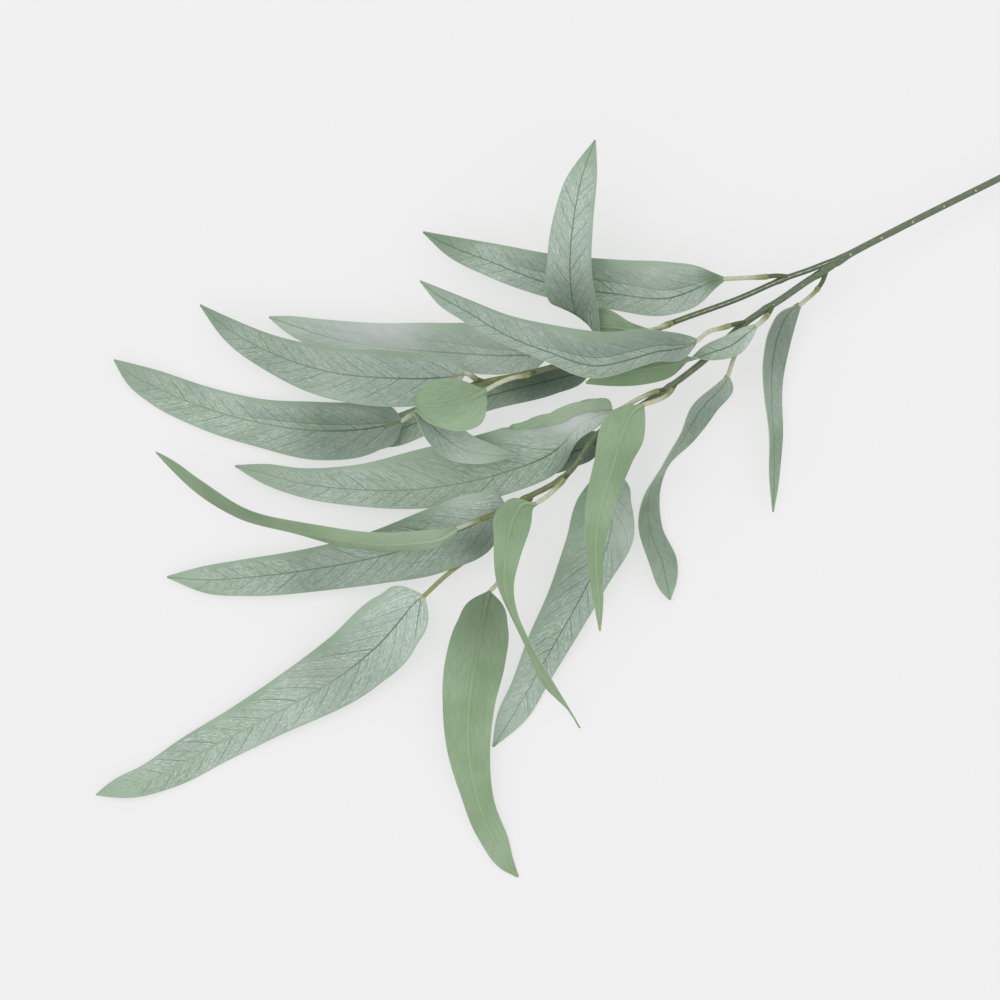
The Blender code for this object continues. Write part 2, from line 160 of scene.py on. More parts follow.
# %% The leaves' points
LEAVES = {
    "leaf_01": dict(
        stem="upper_branch",
        stalk=[(779, 274.5, 25), (763, 277, 25.5), (742, 278, 25), (724, 279, 25)],
        left=[(715, 289, 23), (702, 302, 21), (668, 315, 20), (610, 309, 19), (545, 297, 18),
              (485, 275, 15), (445, 254, 12)],
        right=[(712, 272, 25), (700, 267, 25), (668, 262, 25), (620, 260, 24), (558, 255, 22),
               (497, 244, 18), (450, 236, 14)],
        tip=(423, 232, 12)),
    "leaf_02": dict(
        stem="upper_branch",
        stalk=[(668, 325, 30), (658, 328, 31), (648, 331, 31)],
        left=[(630, 322, 31), (606, 309, 30), (578, 308, 30), (552.5, 303.5, 33), (546, 291, 36),
              (547, 259, 39), (554, 215, 42), (568, 175, 45)],
        right=[(630, 339, 31), (612, 347, 32), (606, 348, 33), (601, 338, 36), (599, 318, 38),
               (592, 275, 41), (593, 222, 44), (597, 175, 46)],
        tip=(595, 140, 47)),
    "leaf_03": dict(
        stem="lower_branch",
        stalk=[(737, 323, 29), (722, 328, 34), (708, 332, 38), (697, 341, 40)],
        left=[(689, 354, 40), (655, 362, 42), (592, 378, 43), (545, 361, 44), (500, 343, 43),
              (460, 319, 41), (438, 304, 40)],
        right=[(690, 336, 41), (652, 330, 45), (600, 332, 48), (548, 324, 48), (508, 315, 46),
               (470, 300, 43), (440, 288, 40)],
        tip=(420, 281, 38)),
    "leaf_04": dict(
        stem="lower_branch",
        stalk=[(824, 283, 19), (813, 294, 18), (806, 300, 17), (800, 305, 17)],
        left=[(799, 313, 14), (792, 336, 11), (786, 364, 9), (782, 400, 8), (782, 441, 7),
              (779, 482, 6)],
        right=[(784, 310, 20), (770, 328, 23), (764, 357, 23), (765, 400, 21), (769, 441, 17),
               (770, 482, 11)],
        tip=(773, 512, 5)),
    "leaf_05": dict(
        stem="upper_branch",
        stalk=[(562, 362, 24), (554, 358, 23), (546, 357, 22)],
        left=[(538, 367, 20), (505, 374, 16), (440, 370, 12), (370, 362, 9), (312, 347, 8),
              (283, 330, 8)],
        right=[(532, 344, 21), (495, 327, 18), (440, 323, 14), (375, 323, 12), (318, 319, 10),
               (288, 316, 9)],
        tip=(269, 317, 8)),
    "leaf_06": dict(
        stem="upper_branch",
        stalk=[(474, 379, 24.5), (470, 375, 26), (465, 373, 25.5)],
        left=[(456, 389, 25), (434, 401, 22.5), (390, 407, 18.5), (320, 396, 15), (268, 372, 12),
              (222, 337, 10)],
        right=[(458, 363, 27), (435, 356, 26), (385, 350, 22), (335, 348, 19), (280, 337, 15),
               (228, 317, 12)],
        tip=(200, 305, 10)),
    "leaf_07": dict(
        stem="upper_branch",
        stalk=[(420, 409, 14.9), (411, 415, 14), (402, 421, 13.5)],
        left=[(398, 436, 12), (377, 451, 10), (320, 460, 6), (254, 446, 2.5), (197, 427, 1.5),
              (150, 403, 2), (126, 382, 3)],
        right=[(395, 410, 13), (370, 405, 12), (319, 402, 8), (262, 399, 3), (205, 386, 2),
               (160, 371, 3), (130, 363, 4)],
        tip=(114, 360, 5)),
    "leaf_08": dict(
        stem="upper_branch",
        stalk=[(599, 360, 24), (596, 366, 22), (590, 371, 21)],
        left=[(583, 382, 18), (555, 394, 14), (488, 411, 10), (430, 434, 7), (385, 447, 4)],
        right=[(578, 364, 18), (548, 366, 14), (482, 384, 11), (420, 405, 8), (378, 422, 5)],
        tip=(352, 436, 2.5)),
    "leaf_09": dict(
        stem="upper_branch",
        stalk=[(527, 376, 31.5), (512, 378, 34.5), (497, 384, 35), (485, 391, 36)],
        left=[(474, 385, 36), (456, 379, 36), (436, 380, 34), (421, 389, 31), (415, 398, 27),
              (422, 404, 24.5), (436, 412, 23), (453, 422, 22), (470, 434, 22), (492, 444, 22)],
        right=[(487, 403, 38), (483, 421, 41), (462, 431, 43), (440, 427, 44), (424, 419, 44),
               (416, 411, 41), (421, 427, 37), (429, 443, 32), (447, 459, 28), (480, 464, 25)],
        tip=(517, 456, 23)),
    "leaf_10": dict(
        stem="lower_branch",
        stalk=[(770, 314, 26), (762, 321, 28.5), (756, 326, 30)],
        left=[(752, 339, 30), (740, 354, 30), (714, 360, 33), (692, 358, 37), (668, 352, 36),
              (635, 354, 36), (605, 366, 35)],
        right=[(744, 327, 32), (725, 336, 32), (702, 347, 31.5), (688, 361, 31), (674, 375, 31),
               (645, 384, 32), (612, 386, 32)],
        tip=(586, 383, 33)),
    "leaf_11": dict(
        stem="lower_branch",
        stalk=[(744, 333, 21.5), (737, 350, 21), (731, 366, 21), (728, 376, 21)],
        left=[(733, 386, 17), (716, 412, 13), (692, 442, 11), (668, 468, 8), (659, 492, 6),
              (662, 525, 4), (677, 562, 3), (676, 584, 3)],
        right=[(717, 384, 26), (692, 406, 28), (679, 437, 27), (662, 467, 24), (645, 492, 20),
               (639, 524, 16), (650, 566, 10), (660, 590, 6)],
        tip=(670, 600, 4)),
    "leaf_12": dict(
        stem="lower_branch",
        stalk=[(657, 390, 31.5), (640, 398, 31.5), (624, 407, 30), (612, 413, 29.3)],
        left=[(601, 424, 27), (580, 439, 24), (560, 470, 19), (510, 493, 15), (430, 508, 10),
              (358, 506, 7), (300, 497, 5), (262, 483, 5)],
        right=[(611, 402.5, 28.3), (591, 399, 26), (545, 413.5, 22), (492, 431, 17), (420, 449, 12),
               (355, 465, 9), (300, 468, 7), (265, 464, 6)],
        tip=(235, 466, 5)),
    "leaf_13": dict(
        stem="lower_branch",
        stalk=[(672, 391, 28), (664, 397, 31), (652, 402, 33), (642, 405, 34)],
        left=[(622, 407, 36), (603, 422, 39), (594, 462, 41), (587, 496, 40), (585, 530, 38),
              (588, 566, 35), (594, 604, 31)],
        right=[(645, 414, 34), (644, 437, 35), (632, 463, 35), (617, 500, 34), (606, 537, 33),
               (603, 570, 31), (603, 603, 29)],
        tip=(600, 631, 27)),
    "leaf_14": dict(
        stem="lower_branch",
        stalk=[(618, 428, 25), (613, 433, 23), (607, 437, 22)],
        left=[(597, 455, 18), (575, 467, 14), (520, 482, 9), (470, 490, 6)],
        right=[(594, 431, 20), (565, 440, 16), (510, 453, 10), (465, 468, 7)],
        tip=(430, 484, 5)),
    "leaf_15": dict(
        stem="lower_branch",
        stalk=[(562, 482, 33.5), (556, 488, 35), (546, 497, 37), (535, 504, 38)],
        left=[(515, 498, 38), (498, 509, 38), (494, 542, 36), (497, 581, 32), (510, 614, 28),
              (524, 645, 24), (547, 689, 19), (557.5, 699.5, 17.8), (567, 709, 16.8)],
        right=[(533, 509, 38), (531, 524, 38), (521, 555, 38), (514, 588, 36), (518, 617, 33),
               (529, 641, 30), (553, 681, 24), (561.5, 695.5, 20), (569, 708, 17.5)],
        tip=(580, 728, 15)),
    "leaf_16": dict(
        stem="lower_branch",
        stalk=[(474, 522, 22.4), (466, 525, 23.5), (456, 529, 25.5)],
        left=[(440, 529, 30), (405, 532, 34), (345, 530, 34), (290, 520, 31), (240, 506, 28),
              (200, 480, 24), (174, 461, 20)],
        right=[(440, 545, 21), (405, 551, 18), (345, 546, 17), (290, 533, 16), (238, 517, 15),
               (195, 492, 15), (171, 469, 15)],
        tip=(156, 452, 17)),
    "leaf_17": dict(
        stem="lower_branch",
        stalk=[(510, 510, 22), (509, 510, 21), (507, 509, 20.3)],
        left=[(505, 522, 18), (494, 545, 16), (446, 571, 13), (385, 583, 10), (310, 592, 6),
              (250, 596, 4), (205, 593, 3)],
        right=[(499, 494, 19), (476, 493, 18), (430, 508, 17), (370, 532, 14), (305, 549, 9),
               (240, 560, 6), (200, 567, 4)],
        tip=(167, 577, 3)),
    "leaf_18": dict(
        stem="lower_branch",
        stalk=[(520, 507, 21), (516, 517, 14), (508, 530, 9.5), (490, 544, 8), (470, 558, 9),
               (449, 573, 12), (424, 596, 15)],
        left=[(428, 612, 15), (415, 648, 13), (376, 687, 8), (274, 738, 3), (225, 762, 1.5),
              (177, 786, 1.5), (128, 798, 3)],
        right=[(408, 588, 15), (378, 596, 14), (329, 638, 10), (228, 710, 4), (182, 738, 2),
               (143, 765, 2.5), (112, 781, 3.5)],
        tip=(96, 795, 4)),
    "leaf_19": dict(
        stem="lower_branch",
        stalk=[(528, 503, 22), (526, 515, 17.5), (516, 545, 15), (505, 572, 16.5),
               (497, 584, 18), (489, 592, 19)],
        left=[(474, 598, 19), (457, 622, 18), (445, 662, 16), (443, 712, 13), (448, 754, 9),
              (460, 793, 6), (477, 836, 2.5), (500, 868, 1.2)],
        right=[(500, 601, 19), (508, 628, 18), (505, 664, 16), (494, 710, 13), (490, 757, 9),
               (494, 800, 6), (508, 838, 2.5), (514, 862, 1.2)],
        tip=(518, 877, 0.5)),
    "leaf_20": dict(
        stem="lower_branch",
        stalk=[(597, 450, 25), (603, 458, 23), (611, 467, 21)],
        left=[(625, 480, 20), (631, 502, 17), (633, 540, 13), (606, 588, 9), (576, 638, 6),
              (550, 681, 2.5), (525, 721, 1)],
        right=[(600, 472, 20), (580, 495, 18), (566, 540, 15), (549, 590, 11), (528, 638, 7),
               (512, 682, 3.5), (497, 716, 2)],
        tip=(493, 747, 1)),
}
print(len(LEAVES), "leaves")

# %% [markdown]
# ## Working with operators
#
# Blender's operators act on what is selected, and loading the frame leaves its nodes selected.
# So each step first selects only the piece that it works on.

# %% Select one piece


def select_only(piece):
    """Leaves this piece selected and active, and nothing else."""
    bpy.ops.object.select_all(action="DESELECT")
    piece.select_set(True)
    bpy.context.view_layer.objects.active = piece


def named(name):
    """The primitive that was just added, with its name."""
    piece = bpy.context.object
    piece.name = name
    piece.data.name = name
    return piece


def dress(piece, slot, *nodes):
    """The piece moves with the branch and stands for its nodes. The slot is not used."""
    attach(piece, "root")
    if nodes:
        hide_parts(*nodes)


def keep_at_points(mesh, name, numbers):
    """Keeps three numbers at each point of the mesh, for the finish to read."""
    mesh.attributes.new(name, "FLOAT_VECTOR", "POINT").data.foreach_set("vector", numbers)


def clear_maps(mesh):
    for layer in list(mesh.uv_layers):
        mesh.uv_layers.remove(layer)


def face_outwards():
    """Turns the faces of the active piece outwards."""
    bpy.ops.object.mode_set(mode="EDIT")
    bpy.ops.mesh.select_all(action="SELECT")
    bpy.ops.mesh.normals_make_consistent(inside=False)
    bpy.ops.object.mode_set(mode="OBJECT")


# %% [markdown]
# ## Colours and nodes
#
# A finish is a Principled shader with a small tree of nodes that works out its colour. The
# helpers below add one node and join it to what feeds it, so that a finish reads as a short list
# of steps. Colours are written as they look on a screen, from 0 to 255, and turned into the
# linear values that Blender works with.

# %% Helpers for finishes


def tint(red, green, blue):
    """A screen colour as Blender's linear colour."""
    def linear(value):
        value /= 255
        return value / 12.92 if value <= 0.04045 else ((value + 0.055) / 1.055) ** 2.4
    return (linear(red), linear(green), linear(blue), 1.0)


class Finish:
    """A material whose node tree is built one step at a time."""

    def __init__(self, name, roughness):
        self.material = bpy.data.materials.new(name)
        self.material.use_nodes = True
        self.tree = self.material.node_tree
        self.shader = self.tree.nodes["Principled BSDF"]
        self.shader.inputs["Roughness"].default_value = roughness

    def feed(self, socket, value):
        """Joins a value to a socket: another node's output, or a plain number or colour."""
        if isinstance(value, bpy.types.NodeSocket):
            self.tree.links.new(value, socket)
        else:
            socket.default_value = value

    def parts(self, vector):
        """The three numbers of a vector, apart."""
        node = self.tree.nodes.new("ShaderNodeSeparateXYZ")
        self.feed(node.inputs[0], vector)
        return tuple(node.outputs)

    def uv(self, name):
        """The two numbers of a UV map."""
        node = self.tree.nodes.new("ShaderNodeUVMap")
        node.uv_map = name
        return self.parts(node.outputs[0])[:2]

    def attribute(self, name):
        """The three numbers that a mesh keeps under this name."""
        node = self.tree.nodes.new("ShaderNodeAttribute")
        node.attribute_name = name
        return self.parts(node.outputs["Vector"])

    def math(self, operation, *values):
        node = self.tree.nodes.new("ShaderNodeMath")
        node.operation = operation
        for socket, value in zip(node.inputs, values):
            self.feed(socket, value)
        return node.outputs[0]

    def times(self, first, second):
        return self.math("MULTIPLY", first, second)

    def scaled(self, value, factor, start):
        """The value times a factor, plus a start."""
        return self.math("MULTIPLY_ADD", value, factor, start)

    def rest(self, value):
        """What is left of 1."""
        return self.math("SUBTRACT", 1.0, value)

    def fade(self, value, start, end):
        """1 up to the start and 0 from the end on, with a smooth fall between them."""
        node = self.tree.nodes.new("ShaderNodeMapRange")
        node.interpolation_type = "SMOOTHSTEP"
        for name, number in (("Value", value), ("From Min", start), ("From Max", end),
                             ("To Min", 1.0), ("To Max", 0.0)):
            self.feed(node.inputs[name], number)
        return node.outputs[0]

    def join(self, x, y, z=0.0):
        node = self.tree.nodes.new("ShaderNodeCombineXYZ")
        for socket, value in zip(node.inputs, (x, y, z)):
            self.feed(socket, value)
        return node.outputs[0]

    def noise(self, scale, vector=None, detail=2.0):
        """Soft noise between 0 and 1, over the object or over a given vector."""
        node = self.tree.nodes.new("ShaderNodeTexNoise")
        node.inputs["Scale"].default_value = scale
        node.inputs["Detail"].default_value = detail
        if vector is None:
            vector = self.tree.nodes.new("ShaderNodeTexCoord").outputs["Object"]
        self.feed(node.inputs["Vector"], vector)
        return node.outputs[0]

    def cells(self, vector):
        """The distance to the nearest edge between the cells of a net, one for each unit."""
        node = self.tree.nodes.new("ShaderNodeTexVoronoi")
        node.feature = "DISTANCE_TO_EDGE"
        node.inputs["Scale"].default_value = 1.0
        self.feed(node.inputs["Vector"], vector)
        return node.outputs[0]

    def mix(self, share, first, second):
        """The second colour laid over the first by a share from 0 to 1."""
        node = self.tree.nodes.new("ShaderNodeMix")
        node.data_type = "RGBA"
        for name, value in (("Factor", share), ("A", first), ("B", second)):
            self.feed(node.inputs[name], value)
        return node.outputs["Result"]

    def finish(self, colour, height=None, depth=0.1 * MM):
        """Sets the colour, and a relief of this depth where a height is given."""
        self.feed(self.shader.inputs["Base Color"], colour)
        if height is not None:
            bump = self.tree.nodes.new("ShaderNodeBump")
            bump.inputs["Distance"].default_value = depth
            self.feed(bump.inputs["Height"], height)
            self.feed(self.shader.inputs["Normal"], bump.outputs[0])
        return self.material


# %% [markdown]
# ## The upper side of a leaf
#
# The upper side is silvery green cloth with a fine print: a thin dark midrib, side veins that run
# out and forward from it, a long-meshed net of darker lines between them and pale flecks all
# over. Towards the right margin and the tip the print ends and the cloth is a plain, greener
# sage. An image would give this at once, but a pattern worked out from the mesh stays sharp and
# fits every leaf. Each leaf carries two UV maps: "share" is the place along and across the blade,
# and "veins" counts the side veins and gives the distance from the midrib in millimetres. The
# net is the edges between cells that are long in the direction of the veins, with thin lines
# beside the side veins. Painted shade and painted light, greenness and the creases are numbers
# kept at the mesh's points.

# %% Finish of the upper side
SILVER = tint(186, 203, 189)
SAGE = tint(160, 182, 161)
FOOT_SILVER = tint(200, 213, 206)
MARGIN_GREEN = tint(148, 173, 143)
FOOT_GREEN = tint(112, 148, 104)
VEIN_GREEN = tint(82, 114, 84)
NET_GREEN = tint(104, 134, 106)
# Painted shade: the deep green that the upper side darkens to where a leaf lies under others.
PAINTED_SHADE_GREEN = tint(42, 68, 40)
FLECK_PALE = tint(212, 224, 214)
STALK_PALE = tint(168, 172, 124)
# Painted light, and the paler silver of some patches: the pale that the negative marks lead to.
PALE_SILVER_AND_PAINTED_LIGHT = tint(214, 222, 218)
# Painted shade on the far side of a crease, where the blade drops away from it.
CREASE_PAINTED_SHADE = tint(108, 134, 116)
RIB_PALE = tint(176, 196, 166)
# How far the painted shade goes towards its deep green.
PAINTED_SHADE_STRENGTH = 0.85


def with_painted_shade_and_light(made, colour, shade, deepest, paler=1.0):
    """The colour with painted shade where the mark is above 0, and paler where it is below 0: painted light,
    and the paler silver of some patches.
    """
    colour = made.mix(made.times(made.math("MAXIMUM", shade, 0.0), PAINTED_SHADE_STRENGTH), colour, deepest)
    return made.mix(made.math("MAXIMUM", made.times(shade, -paler), 0.0), colour, PALE_SILVER_AND_PAINTED_LIGHT)


def printed_cloth(made, along, across, count, off_rib):
    """The cloth with its pale flecks and its plain margins, and where the print is strong."""
    patches = made.fade(made.noise(34.0), 0.35, 0.65)
    colour = made.mix(patches, SAGE, SILVER)
    foot = made.fade(made.math("ADD", along, made.times(made.noise(40.0), 0.2)), 0.1, 0.42)
    colour = made.mix(made.times(foot, 0.55), colour, FOOT_SILVER)

    width = made.scaled(made.noise(24.0), 0.45, -0.1)
    rim = made.fade(made.rest(across), made.times(width, 0.3), width)
    rim = made.math("MAXIMUM", rim, made.fade(across, 0.0, 0.06))
    rim = made.math("MAXIMUM", rim, made.fade(made.rest(along), 0.02, 0.2))
    printed = made.scaled(rim, -0.75, 1.0)

    along_veins = made.join(made.times(count, 10.0), made.times(off_rib, 0.55))
    flecks = made.rest(made.fade(made.noise(1.0, along_veins, 3.0), 0.42, 0.62))
    flecks = made.times(flecks, made.times(printed, 0.7))
    colour = made.mix(flecks, colour, FLECK_PALE)
    return made.mix(made.times(rim, 0.55), colour, MARGIN_GREEN), patches, printed, flecks


def vein_lines(made, colour, across, count, off_rib, printed):
    """The colour with the net and the side veins drawn on it, and the net's strength."""
    net = made.cells(made.join(made.times(count, 8.0), made.times(off_rib, 0.7)))
    net = made.times(made.fade(net, 0.02, 0.14), 0.4)
    uneven = made.scaled(made.fade(made.noise(130.0), 0.35, 0.65), -0.55, 1.0)
    thin = made.math("PINGPONG", made.scaled(count, 4.0, made.times(made.noise(110.0), 0.6)), 0.5)
    thin = made.times(made.fade(thin, 0.03, 0.14), made.times(uneven, 0.6))
    net = made.times(made.math("MAXIMUM", net, thin), printed)
    colour = made.mix(net, colour, NET_GREEN)

    wobble = made.scaled(made.noise(90.0), 0.08, -0.04)
    side = made.math("PINGPONG", made.math("ADD", count, wobble), 0.5)
    edge = made.math("ABSOLUTE", made.scaled(across, 2.0, -1.0))
    side_line = made.times(made.fade(side, 0.008, 0.036), made.fade(edge, 0.6, 1.0))
    return made.mix(made.times(side_line, made.times(printed, 0.8)), colour, VEIN_GREEN), net


def crease_line(made, colour, from_crease, creased):
    """The colour with a thin dark line of painted shade in the crease and painted shade beyond it."""
    crease = made.fade(made.math("ABSOLUTE", from_crease), 0.05, 0.32)
    colour = made.mix(made.times(crease, made.times(creased, 0.6)), colour, VEIN_GREEN)
    # Painted shade beyond the crease, fading out over a few millimetres.
    beyond = made.math("SUBTRACT", made.fade(from_crease, 1.0, 7.0), made.fade(from_crease, -0.4, 0.2))
    return made.mix(made.times(beyond, made.times(creased, 0.35)), colour, CREASE_PAINTED_SHADE)


def midrib(made, colour, along, off_rib, split, strip):
    """The colour with the dark midrib and the stalk's pale strip, and the midrib's strength."""
    apart = made.times(split, made.rest(made.fade(along, 0.18, 0.36)))
    colour = made.mix(made.times(made.fade(off_rib, 0.5, 1.1), made.times(apart, 0.6)), colour, RIB_PALE)
    thick = made.scaled(along, -0.5, 0.78)
    rib_line = made.fade(off_rib, made.times(thick, 0.35), thick)
    rib_line = made.times(rib_line, made.scaled(apart, -0.45, 0.8))
    colour = made.mix(rib_line, colour, VEIN_GREEN)
    stalk = made.times(made.fade(off_rib, 0.6, 1.2), made.fade(along, made.times(strip, 0.6), strip))
    return made.mix(stalk, colour, STALK_PALE), rib_line


def upper_side():
    made = Finish("leaf upper side", 0.62)
    along, across = made.uv("share")
    count, off_rib = made.uv("veins")
    # The first number of the marks is painted shade, and painted light where it is below 0.
    shade, green, split = made.attribute("marks")
    strip, from_crease, creased = made.attribute("strip")
    colour, patches, printed, flecks = printed_cloth(made, along, across, count, off_rib)
    colour, net = vein_lines(made, colour, across, count, off_rib, printed)
    colour = crease_line(made, colour, from_crease, creased)
    colour, rib_line = midrib(made, colour, along, off_rib, split, strip)
    colour = made.mix(green, colour, made.mix(patches, FOOT_GREEN, MARGIN_GREEN))
    ridges = made.math("SUBTRACT", made.times(flecks, 0.3), made.math("ADD", net, rib_line))
    return made.finish(with_painted_shade_and_light(made, colour, shade, PAINTED_SHADE_GREEN), ridges, 0.12 * MM)


# %% [markdown]
# ## The underside, the stalk and the cut edge
#
# The underside isn't printed: it is a plain yellowish green with faint streaks and veins, and its
# midrib is a paler band. The stalk starts as a dark moulded stub of the branch. The leaf's own
# stalk, a hollow one, is pushed over it, and changes from olive there to cream at the blade. The
# edge shows the paler inside of the cloth where it was cut.

# %% Finishes of the underside, stalk and edge
UNDER_LIGHT = tint(156, 180, 147)
UNDER_GREEN = tint(138, 165, 127)
UNDER_DEEP = tint(112, 142, 100)
# Painted shade: the deep green that the underside darkens to where a leaf lies under others.
UNDER_PAINTED_SHADE = tint(44, 74, 40)
UNDER_RIB = tint(172, 188, 150)
STUB_GREEN = tint(84, 96, 62)
OLIVE = tint(150, 156, 104)
CREAM = tint(196, 200, 172)
EDGE_GREEN = tint(148, 172, 140)
EDGE_PALE = tint(186, 200, 180)
# How much of the painted light reaches the underside.
UNDER_PAINTED_LIGHT = 0.25


def underside():
    made = Finish("leaf underside", 0.58)
    along, across = made.uv("share")
    count, off_rib = made.uv("veins")
    # The first number of the marks is painted shade, and painted light where it is below 0.
    shade = made.attribute("marks")[0]
    colour = made.mix(made.fade(made.noise(34.0), 0.35, 0.65), UNDER_GREEN, UNDER_LIGHT)
    streaks = made.noise(1.0, made.join(made.times(along, 16.0), made.times(across, 30.0)))
    colour = made.mix(made.times(made.fade(streaks, 0.3, 0.6), 0.3), colour, UNDER_DEEP)
    wobble = made.scaled(made.noise(160.0), 0.2, -0.1)
    side = made.math("PINGPONG", made.math("ADD", count, wobble), 0.5)
    side_line = made.times(made.fade(side, 0.02, 0.09), 0.16)
    colour = made.mix(side_line, colour, UNDER_DEEP)

    thick = made.scaled(along, -0.5, 1.15)
    rib = made.fade(off_rib, made.times(thick, 0.4), thick)
    beside = made.times(made.fade(off_rib, thick, made.math("ADD", thick, 0.7)), 0.2)
    colour = made.mix(made.times(rib, 0.4), made.mix(beside, colour, UNDER_DEEP), UNDER_RIB)
    return made.finish(with_painted_shade_and_light(made, colour, shade, UNDER_PAINTED_SHADE, UNDER_PAINTED_LIGHT), side_line, 0.1 * MM)


def stalk_finish():
    made = Finish("leaf stalk", 0.5)
    past_stub = made.uv("veins")[0]
    uneven = made.math("ADD", past_stub, made.scaled(made.noise(300.0), 0.08, -0.04))
    colour = made.mix(made.fade(uneven, 0.1, 0.4), CREAM, OLIVE)
    colour = made.mix(made.fade(uneven, -0.02, 0.03), colour, STUB_GREEN)
    streaks = made.fade(made.noise(500.0), 0.35, 0.65)
    return made.finish(made.mix(made.times(streaks, 0.15), colour, STUB_GREEN), streaks, 0.08 * MM)


def cut_edge():
    made = Finish("leaf cut edge", 0.75)
    return made.finish(made.mix(made.noise(120.0), EDGE_GREEN, EDGE_PALE))


LEAF_FINISHES = [underside(), upper_side(), stalk_finish(), cut_edge()]
UPPER, STALK, EDGE = 1, 2, 3
print(len(LEAF_FINISHES), "finishes for each leaf")

# %% [markdown]
# ## Where a stalk starts
#
# A stalk grows out of its branch at a low angle. The nearest place on the branch's line is found
# for the stalk's first point, and the stalk's line starts a little before it, inside the branch,
# so that it comes out of the skin slowly, as a moulded stub does. The branch swells at each of
# these places.

# %% Seats of the stalks
ROOTED = 4.5 * MM
STALK_EASED = 0.5
NODE_SWELLING = 0.22
NODE_REACH = 2.2 * MM


def seat_on(points, towards):
    """The place on the stem's line nearest to a stalk, and the way the stem runs there."""
    places = []
    for here, there in zip(points, points[1:]):
        line = there - here
        share = min(max((towards - here).dot(line) / line.length_squared, 0.0), 1.0)
        places.append((here + line * share, line.normalized()))
    return min(places, key=lambda seat: (towards - seat[0]).length)


def stalk_path(name):
    """The stalk's line: out of the branch at a low angle, then on through the stalk's points."""
    foot, ahead = seats[name]
    path = [foot - ahead * ROOTED] + [place(point) for point in LEAVES[name]["stalk"]]
    path[1] = path[1].lerp((path[0] + path[2]) / 2, STALK_EASED)
    return path


seats = {name: seat_on(stems[leaf["stem"]][0], place(leaf["stalk"][0])) for name, leaf in LEAVES.items()}
print("first seat at", [round(value / MM) for value in seats["leaf_01"][0]], "mm")

# %% [markdown]
# ## The form of a leaf
#
# A leaf is a long curved sheet whose width, twist and bend change all the way along. No stroke
# of extrude or spin gives that, so a flat grid is added and each of its points is set by a
# formula: rows are read along the stalk and the two edges, and across each row the sheet sinks
# to a channel along the midrib, is puckered between the side veins and waved at its edges.
# Columns crowd at the middle, where the rib is. Solidify then gives the sheet its thickness,
# round at the stalk and thin in the blade, and sets the upper side and the edge apart.

# %% Rows of a leaf
STALK_WIDTH = 2.3 * MM
TIP_WIDTH = 0.9 * MM
STALK_ROWS = 26
BLADE_ROWS = 104
CLOSER_AT_ENDS = 0.11
STALK_SWELLING = 0.28
STALK_SWELLING_REACH = 5.0 * MM
PLUGGED_STALK = 26.0 * MM
# How much of a stalk is the dark stub of the branch. On a stalk longer than the plugged length
# only that length counts, apart from those that are a long stub with an olive end.
USUAL_STUB = 0.45
STUB_SHARE = {"leaf_02": 0.2, "leaf_05": 0.3, "leaf_09": 0.2, "leaf_12": 0.2, "leaf_13": 0.2,
              "leaf_15": 0.2, "leaf_16": 0.3}
LONG_STUBS = ("leaf_18",)


def stub_length(name, whole):
    """How far the dark stub reaches along a stalk of this length."""
    return STUB_SHARE.get(name, USUAL_STUB) * (whole if name in LONG_STUBS else min(whole, PLUGGED_STALK))


def plugged(at, stub):
    """How much wider the stalk is where it is pushed over the stub."""
    if at < stub:
        return 1.0
    return 1.0 + STALK_SWELLING * math.exp(-(((at - stub) / STALK_SWELLING_REACH) ** 2))


def leaf_sections(name):
    """The rows of a leaf from the stalk's start to the tip, as (left, right, along).

    Along is the row's place on the blade, from 0 at its foot to 1 at the tip, and from -1 to 0
    on the stalk.
    """
    leaf = LEAVES[name]
    path = stalk_path(name)
    tip, foot = place(leaf["tip"]), path[-1]
    left_points = [place(point) for point in leaf["left"]]
    right_points = [place(point) for point in leaf["right"]]
    side = (right_points[0] - left_points[0]).normalized() * (STALK_WIDTH / 2)

    rows = []
    knots = lengths_along(path)
    stub = stub_length(name, knots[-1])
    for i in range(STALK_ROWS):
        at = knots[-1] * i / STALK_ROWS
        ahead = read_curve(path, knots, min(at + MM, knots[-1])) - read_curve(path, knots, max(at - MM, 0.0))
        across = (side - ahead * side.dot(ahead) / ahead.length_squared).normalized() * (STALK_WIDTH / 2)
        across *= plugged(at, stub)
        centre = read_curve(path, knots, at)
        rows.append((centre - across, centre + across, at / knots[-1] - 1.0))

    end = (right_points[-1] - left_points[-1]).normalized() * (TIP_WIDTH / 2)
    lefts = [foot - side] + left_points + [tip - end]
    rights = [foot + side] + right_points + [tip + end]
    knots = lengths_along([(a + b) / 2 for a, b in zip(lefts, rights)])
    for i in range(BLADE_ROWS):
        share = i / (BLADE_ROWS - 1)
        along = share - CLOSER_AT_ENDS * math.sin(2 * math.pi * share)
        at = knots[-1] * along
        rows.append((read_curve(lefts, knots, at), read_curve(rights, knots, at), along))
    return rows


# %% Ribs, veins, folds and creases
# How far the midrib lies off the middle of the blade, as a share of the half blade.
RIB_ASIDE = {"leaf_01": -0.4, "leaf_03": -0.5, "leaf_05": -0.25, "leaf_12": -0.35,
             "leaf_18": -0.12, "leaf_20": -0.3}
ASIDE_RISES, ASIDE_FALLS = (0.0, 0.2), (0.5, 0.95)
VEIN_STEP_SHARE = 0.31
VEIN_SLANT = 1.25
VEIN_ARCH = 40.0
# The unevenness of the veins: (how far in steps, how often).
VEIN_UNEVEN = [(0.16, 1.7), (0.1, 3.3)]
NEAR_ROWS = 16
